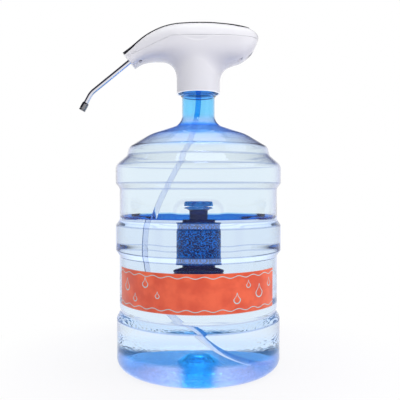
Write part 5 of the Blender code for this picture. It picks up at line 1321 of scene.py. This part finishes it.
bendAngle = np.linspace(0, spoutFacts["bend"], 20)
bendPart = np.stack([
    spoutFacts["bendRadius"] * (1 - np.cos(bendAngle)), 0 * bendAngle,
    spoutFacts["straight"] + spoutFacts["bendRadius"] * np.sin(bendAngle)], -1)
onward = np.array((math.sin(spoutFacts["bend"]), 0, math.cos(spoutFacts["bend"])))
straightAlong = np.linspace(-spoutFacts["insert"], spoutFacts["straight"], 24)[:-1]
straightPart = np.stack([0 * straightAlong, 0 * straightAlong, straightAlong], -1)
lastPart = bendPart[-1] + onward * np.linspace(0, spoutFacts["last"] - 0.0008, 10)[1:, None]
spoutPath = np.concatenate([straightPart, bendPart, lastPart]) @ spoutTurn.T + noseFace
radius, inner = spoutFacts["radius"], spoutFacts["radius"] - spoutFacts["wall"]
shares = np.linspace(0, 1, 70)
spoutRows = [(s, radius) for s in shares] + [(s, inner) for s in shares[::-1]] + [(0, radius)]
chromeLook = metalLook("polishedChrome", spoutFacts["chrome"], 0.06, (1, 1, 1), 0.01, 90)
spout = newPiece("spoutPipe", alongPath(spoutPath, spoutRows, 40), gridFaces(len(spoutRows), 40, True), chromeLook, 45)
attach(spout, "spout", "chrome", "spout_tube")

tipEnd = (bendPart[-1] + onward * spoutFacts["last"]) @ spoutTurn.T + noseFace
tipAlong = spoutTurn @ onward
tipSide = np.cross((0, 1, 0), tipAlong)
tipTurn = np.stack([tipSide, (0, 1, 0), tipAlong], -1)
r, length, sleeve = spoutFacts["tipRadius"], spoutFacts["tipLength"], radius + headFacts["gap"]
nozzleLook = metalLook("brightNozzle", spoutFacts["nozzle"], 0.10, (1, 1, 1), 0.02, 120)
nozzle = revolved("spoutNozzle", refine(outline([
    (sleeve, -length, 0), (r - 0.0009, -length, 0.0003), (r - 0.0004, -length + 0.0016, 0.0006),
    (r, -length + 0.0022, 0.0004), (r, -0.0034, 0.0003), (r - 0.0004, -0.0030, 0.0002), (r - 0.0004, -0.0026, 0.0002),
    (r, -0.0022, 0.0003), (r, 0, 0.0008), (sleeve + 0.0003, 0, 0.0003), (sleeve, -0.0008, 0),
], math.radians(15)), 0.002), 56, nozzleLook, tipEnd, tipTurn)
attach(nozzle, "spout", "silver_plastic", "spout_tip")
socket, passage = spoutFacts["socket"], spoutFacts["passage"]
boolean(form, revolved("spoutHole", [
    (0, -0.03), (socket, -0.03), (socket, -0.003), (passage, -0.003), (passage, 0.004), (0, 0.004),
], 64, None, noseFace, spoutTurn, closed=False))


# Sleeve on the neck, plugs under the nose and the flap over the charging socket

sleeveFacts = {
    "length": 0.036,
    "lip": 0.0215,
    "lipGap": 0.0003,
    "ribs": 3,
    "ribStep": 0.009,
    "ribDepth": 0.0006,
    "tone": (0.90, 0.92, 0.96),
    "toneLow": (0.86, 0.89, 0.95),
    "toneHigh": (0.92, 0.94, 0.97),
    # painted glow over the whole sleeve, which lightens it where it lies in shade
    "glow": (0.26, 0.30, 0.38),
}

rubberLook = mouldedLook("greyRubber", (0.13, 0.13, 0.15), 0.55, 0.25, 700)
outer, innerRadius = bore - headFacts["gap"], neckLip + headFacts["gap"]
valley, lip, lipFoot = outer - sleeveFacts["ribDepth"], sleeveFacts["lip"], mouth + sleeveFacts["lipGap"]
sleeveTop = deckLow - headFacts["gap"]
sleeveFoot = sleeveTop - sleeveFacts["length"]
sleeveCorners = [
    (lip, lipFoot, 0), (innerRadius, lipFoot, 0), (innerRadius, sleeveFoot, 0.0004), (valley, sleeveFoot, 0.0006)]
for k in range(sleeveFacts["ribs"]):
    z = sleeveFoot + sleeveFacts["ribStep"] * (k + 1)
    sleeveCorners += [
        (valley, z - 0.0014, 0.0006), (outer, z - 0.0003, 0.0003), (outer, z + 0.0003, 0.0003),
        (valley, z + 0.0014, 0.0006)]
sleeveCorners += [(valley, sleeveTop, 0.0004), (lip, sleeveTop, 0)]
# the sleeve carries a painted glow
sleeveLook, shader, place = newLook("sleeveSilicone", {
    "Base Color": sleeveFacts["tone"], "Roughness": 0.35, "IOR": 1.4,
    "Emission Color": sleeveFacts["glow"], "Emission Strength": 1.0,
})
feed(shader, baseColor=place.noise(90, 3).step(0.3, 0.7).blend(sleeveFacts["toneLow"], sleeveFacts["toneHigh"]))
feed(shader, normal=place.noise(900, 2).bump(0.1, 0.0002))
neckRing = revolved("neckRing", outline(sleeveCorners, math.radians(20)), 96, sleeveLook, (axisX, 0, 0))
attach(neckRing, "pump_head", "silicone", "neck_sleeve")

for side in ("left", "right"):
    low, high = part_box("screw_plug_" + side)
    middle = (low + high) / 2
    size = (high.x - low.x) / 2
    plug = revolved("rubberPlug_" + side, outline([
        (0, low.z + 0.0003, 0), (size * 0.6, low.z, 0.0006), (size, low.z, 0.0004), (size, high.z, 0.0002),
        (0, high.z, 0),
    ], math.radians(18)), 40, rubberLook, (middle.x, middle.y, 0), closed=False)
    attach(plug, "pump_head", "grey_rubber", "screw_plug_" + side)

# its rim lies deeper than its middle, so that it clears the skin when it opens
flap = oval([
    (0.001, -0.0024), (0.97, -0.0024), (1.0, -0.0021), (1.0, -0.0013), (0.985, -0.0010), (0.95, -0.0008),
    (0.86, -0.0004), (0.70, 0.0001), (0.5, 0.0004), (0.25, 0.0004), (0.001, 0.0004),
], halfHigh - portFacts["flapGap"], halfWide - portFacts["flapGap"], "portFlap", rubberLook)
attach(flap, "flap", "grey_rubber", "port_cover")
boolean(form, ovalBlock(-portFacts["seat"], 0.006, portFacts["seatGap"]))
attach(form, "pump_head", "white_shell", "lower_housing")
attach(cover, "pump_head", "white_shell", "upper_cover")
print("head done", len(form.data.polygons), len(cover.data.polygons))


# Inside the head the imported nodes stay, with finishes of their own

nylonLook = mouldedLook("naturalNylon", (0.82, 0.81, 0.76), 0.48, 0.2, 800)
steelLook = metalLook("drawnSteel", (0.55, 0.55, 0.57), 0.28, (0.2, 1, 1), 0.5, 400)
brassLook = metalLook("turnedBrass", (0.78, 0.58, 0.24), 0.28, (1, 0.2, 0.2), 0.5, 500)
wrapLook = mouldedLook("cellWrap", (0.05, 0.22, 0.55), 0.3, 0.15, 300, 0.2)
boardLook = mouldedLook("solderMask", (0.03, 0.22, 0.10), 0.38, 0.3, 600, 0.1)
blackLook = mouldedLook("mattBlack", (0.03, 0.03, 0.03), 0.45, 0.2, 900)
tubeLook = mouldedLook("tubeSilicone", (0.78, 0.82, 0.88), 0.3, 0.1, 500)
finishes = {
    nylonLook: ("motor_end_cap", "pump_case", "swash_plate", "valve_head", "inlet_connector", "outlet_connector"),
    steelLook: ("cover_screw_front_left", "cover_screw_front_right", "cover_screw_rear_left", "cover_screw_rear_right",
                "charging_socket", "motor_can", "motor_shaft"),
    brassLook: ("eccentric",),
    wrapLook: ("battery_cell",),
    boardLook: ("control_board",),
    blackLook: ("button_switch",),
    rubberLook: ("diaphragm", "spout_seal"),
    tubeLook: ("inlet_hose", "outlet_hose"),
}
for look, names in finishes.items():
    for name in names:
        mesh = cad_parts[name].data
        mesh.materials.clear()
        mesh.materials.append(look)
        mesh.polygons.foreach_set("material_index", [0] * len(mesh.polygons))
print("inner pieces")


# Floor, world and lamps

stageFacts = {
    "key": 10.5,
    "fill": 6.0,
    "top": 13.0,
    "aim": (0, 0, 0.35),
    "world": 0.50,
    "shade": 0.14,                        # how much of the floor's own shading the camera sees
    "shadeAround": (0.42, 0.20),          # none outside the first radius, all inside the second
    "floor": (0.80, 0.78, 0.90),
    "floorHalf": 6.0,
    "floorHeight": -0.0004,
    "ceiling": (0.05, 0.05, 0.07),        # what gloss and glass show overhead
    "ceilingFrom": (0.16, 0.36),          # between walls and ceiling, as the ray's rise
}


def raySeen(rays, *kinds):
    # 1 for the named kinds of ray
    found = Signal(rays.outputs["Is " + kinds[0] + " Ray"])
    for kind in kinds[1:]:
        found = found.larger(Signal(rays.outputs["Is " + kind + " Ray"]))
    return found


floorLook = bpy.data.materials.new("paleFloor")
floorLook.use_nodes = True
tree = floorLook.node_tree
output = next(n for n in tree.nodes if n.type == "OUTPUT_MATERIAL")
diffuse = tree.nodes["Principled BSDF"]
diffuse.inputs["Base Color"].default_value = (*stageFacts["floor"], 1)
diffuse.inputs["Roughness"].default_value = 0.9
diffuse.inputs["Specular IOR Level"].default_value = 0.0
glow = tree.nodes.new("ShaderNodeEmission")
seen = raySeen(tree.nodes.new("ShaderNodeLightPath"), "Camera", "Glossy", "Transmission")
coordinates = tree.nodes.new("ShaderNodeTexCoord")
across, back, _ = Signal(coordinates.outputs["Object"]).axes()
away = ((across - axisX) ** 2.0 + back ** 2.0) ** 0.5
mixed = tree.nodes.new("ShaderNodeMixShader")
shown = seen * (1 - away.step(*stageFacts["shadeAround"]) * stageFacts["shade"])
tree.links.new(shown.socket, mixed.inputs[0])
tree.links.new(diffuse.outputs[0], mixed.inputs[1])
tree.links.new(glow.outputs[0], mixed.inputs[2])
tree.links.new(mixed.outputs[0], output.inputs["Surface"])
half, under = stageFacts["floorHalf"], stageFacts["floorHeight"]
floorPoints = np.array([[(x, y, under) for x in (-half, half)] for y in (-half, half)])
floor = newPiece("floor", floorPoints, np.array([[0, 1, 3, 2]]), floorLook)

# white to the camera; gloss and glass show white walls under a darker ceiling
world = bpy.data.worlds.new("room")
bpy.context.scene.world = world
world.use_nodes = True
tree = world.node_tree
rays = tree.nodes.new("ShaderNodeLightPath")
coordinates = tree.nodes.new("ShaderNodeTexCoord")
up = Signal(coordinates.outputs["Generated"]).axes()[2]
room = up.step(*stageFacts["ceilingFrom"]).blend((1, 1, 1), stageFacts["ceiling"])
colour = raySeen(rays, "Glossy", "Transmission").blend((stageFacts["world"],) * 3, room)
colour = raySeen(rays, "Camera").blend(colour, (1, 1, 1))
tree.links.new(colour.socket, tree.nodes["Background"].inputs["Color"])


def lamp(name, place, size, power):
    # a round lamp aimed at the object's middle, not seen in reflections
    light = bpy.data.lights.new(name, "AREA")
    light.shape = "DISK"
    light.size = size
    light.energy = power
    made = bpy.data.objects.new(name, light)
    made.visible_glossy = False
    made.location = place
    made.rotation_euler = (Vector(stageFacts["aim"]) - Vector(place)).to_track_quat("-Z", "Y").to_euler()
    bpy.context.scene.collection.objects.link(made)


lamp("key", (0.1, -1.1, 1.7), 0.6, stageFacts["key"])
lamp("fill", (1.3, -0.6, 1.0), 1.0, stageFacts["fill"])
lamp("top", (0.1, 0.1, 2.1), 1.2, stageFacts["top"])
bpy.context.scene.view_settings.view_transform = "Standard"
print("stage")
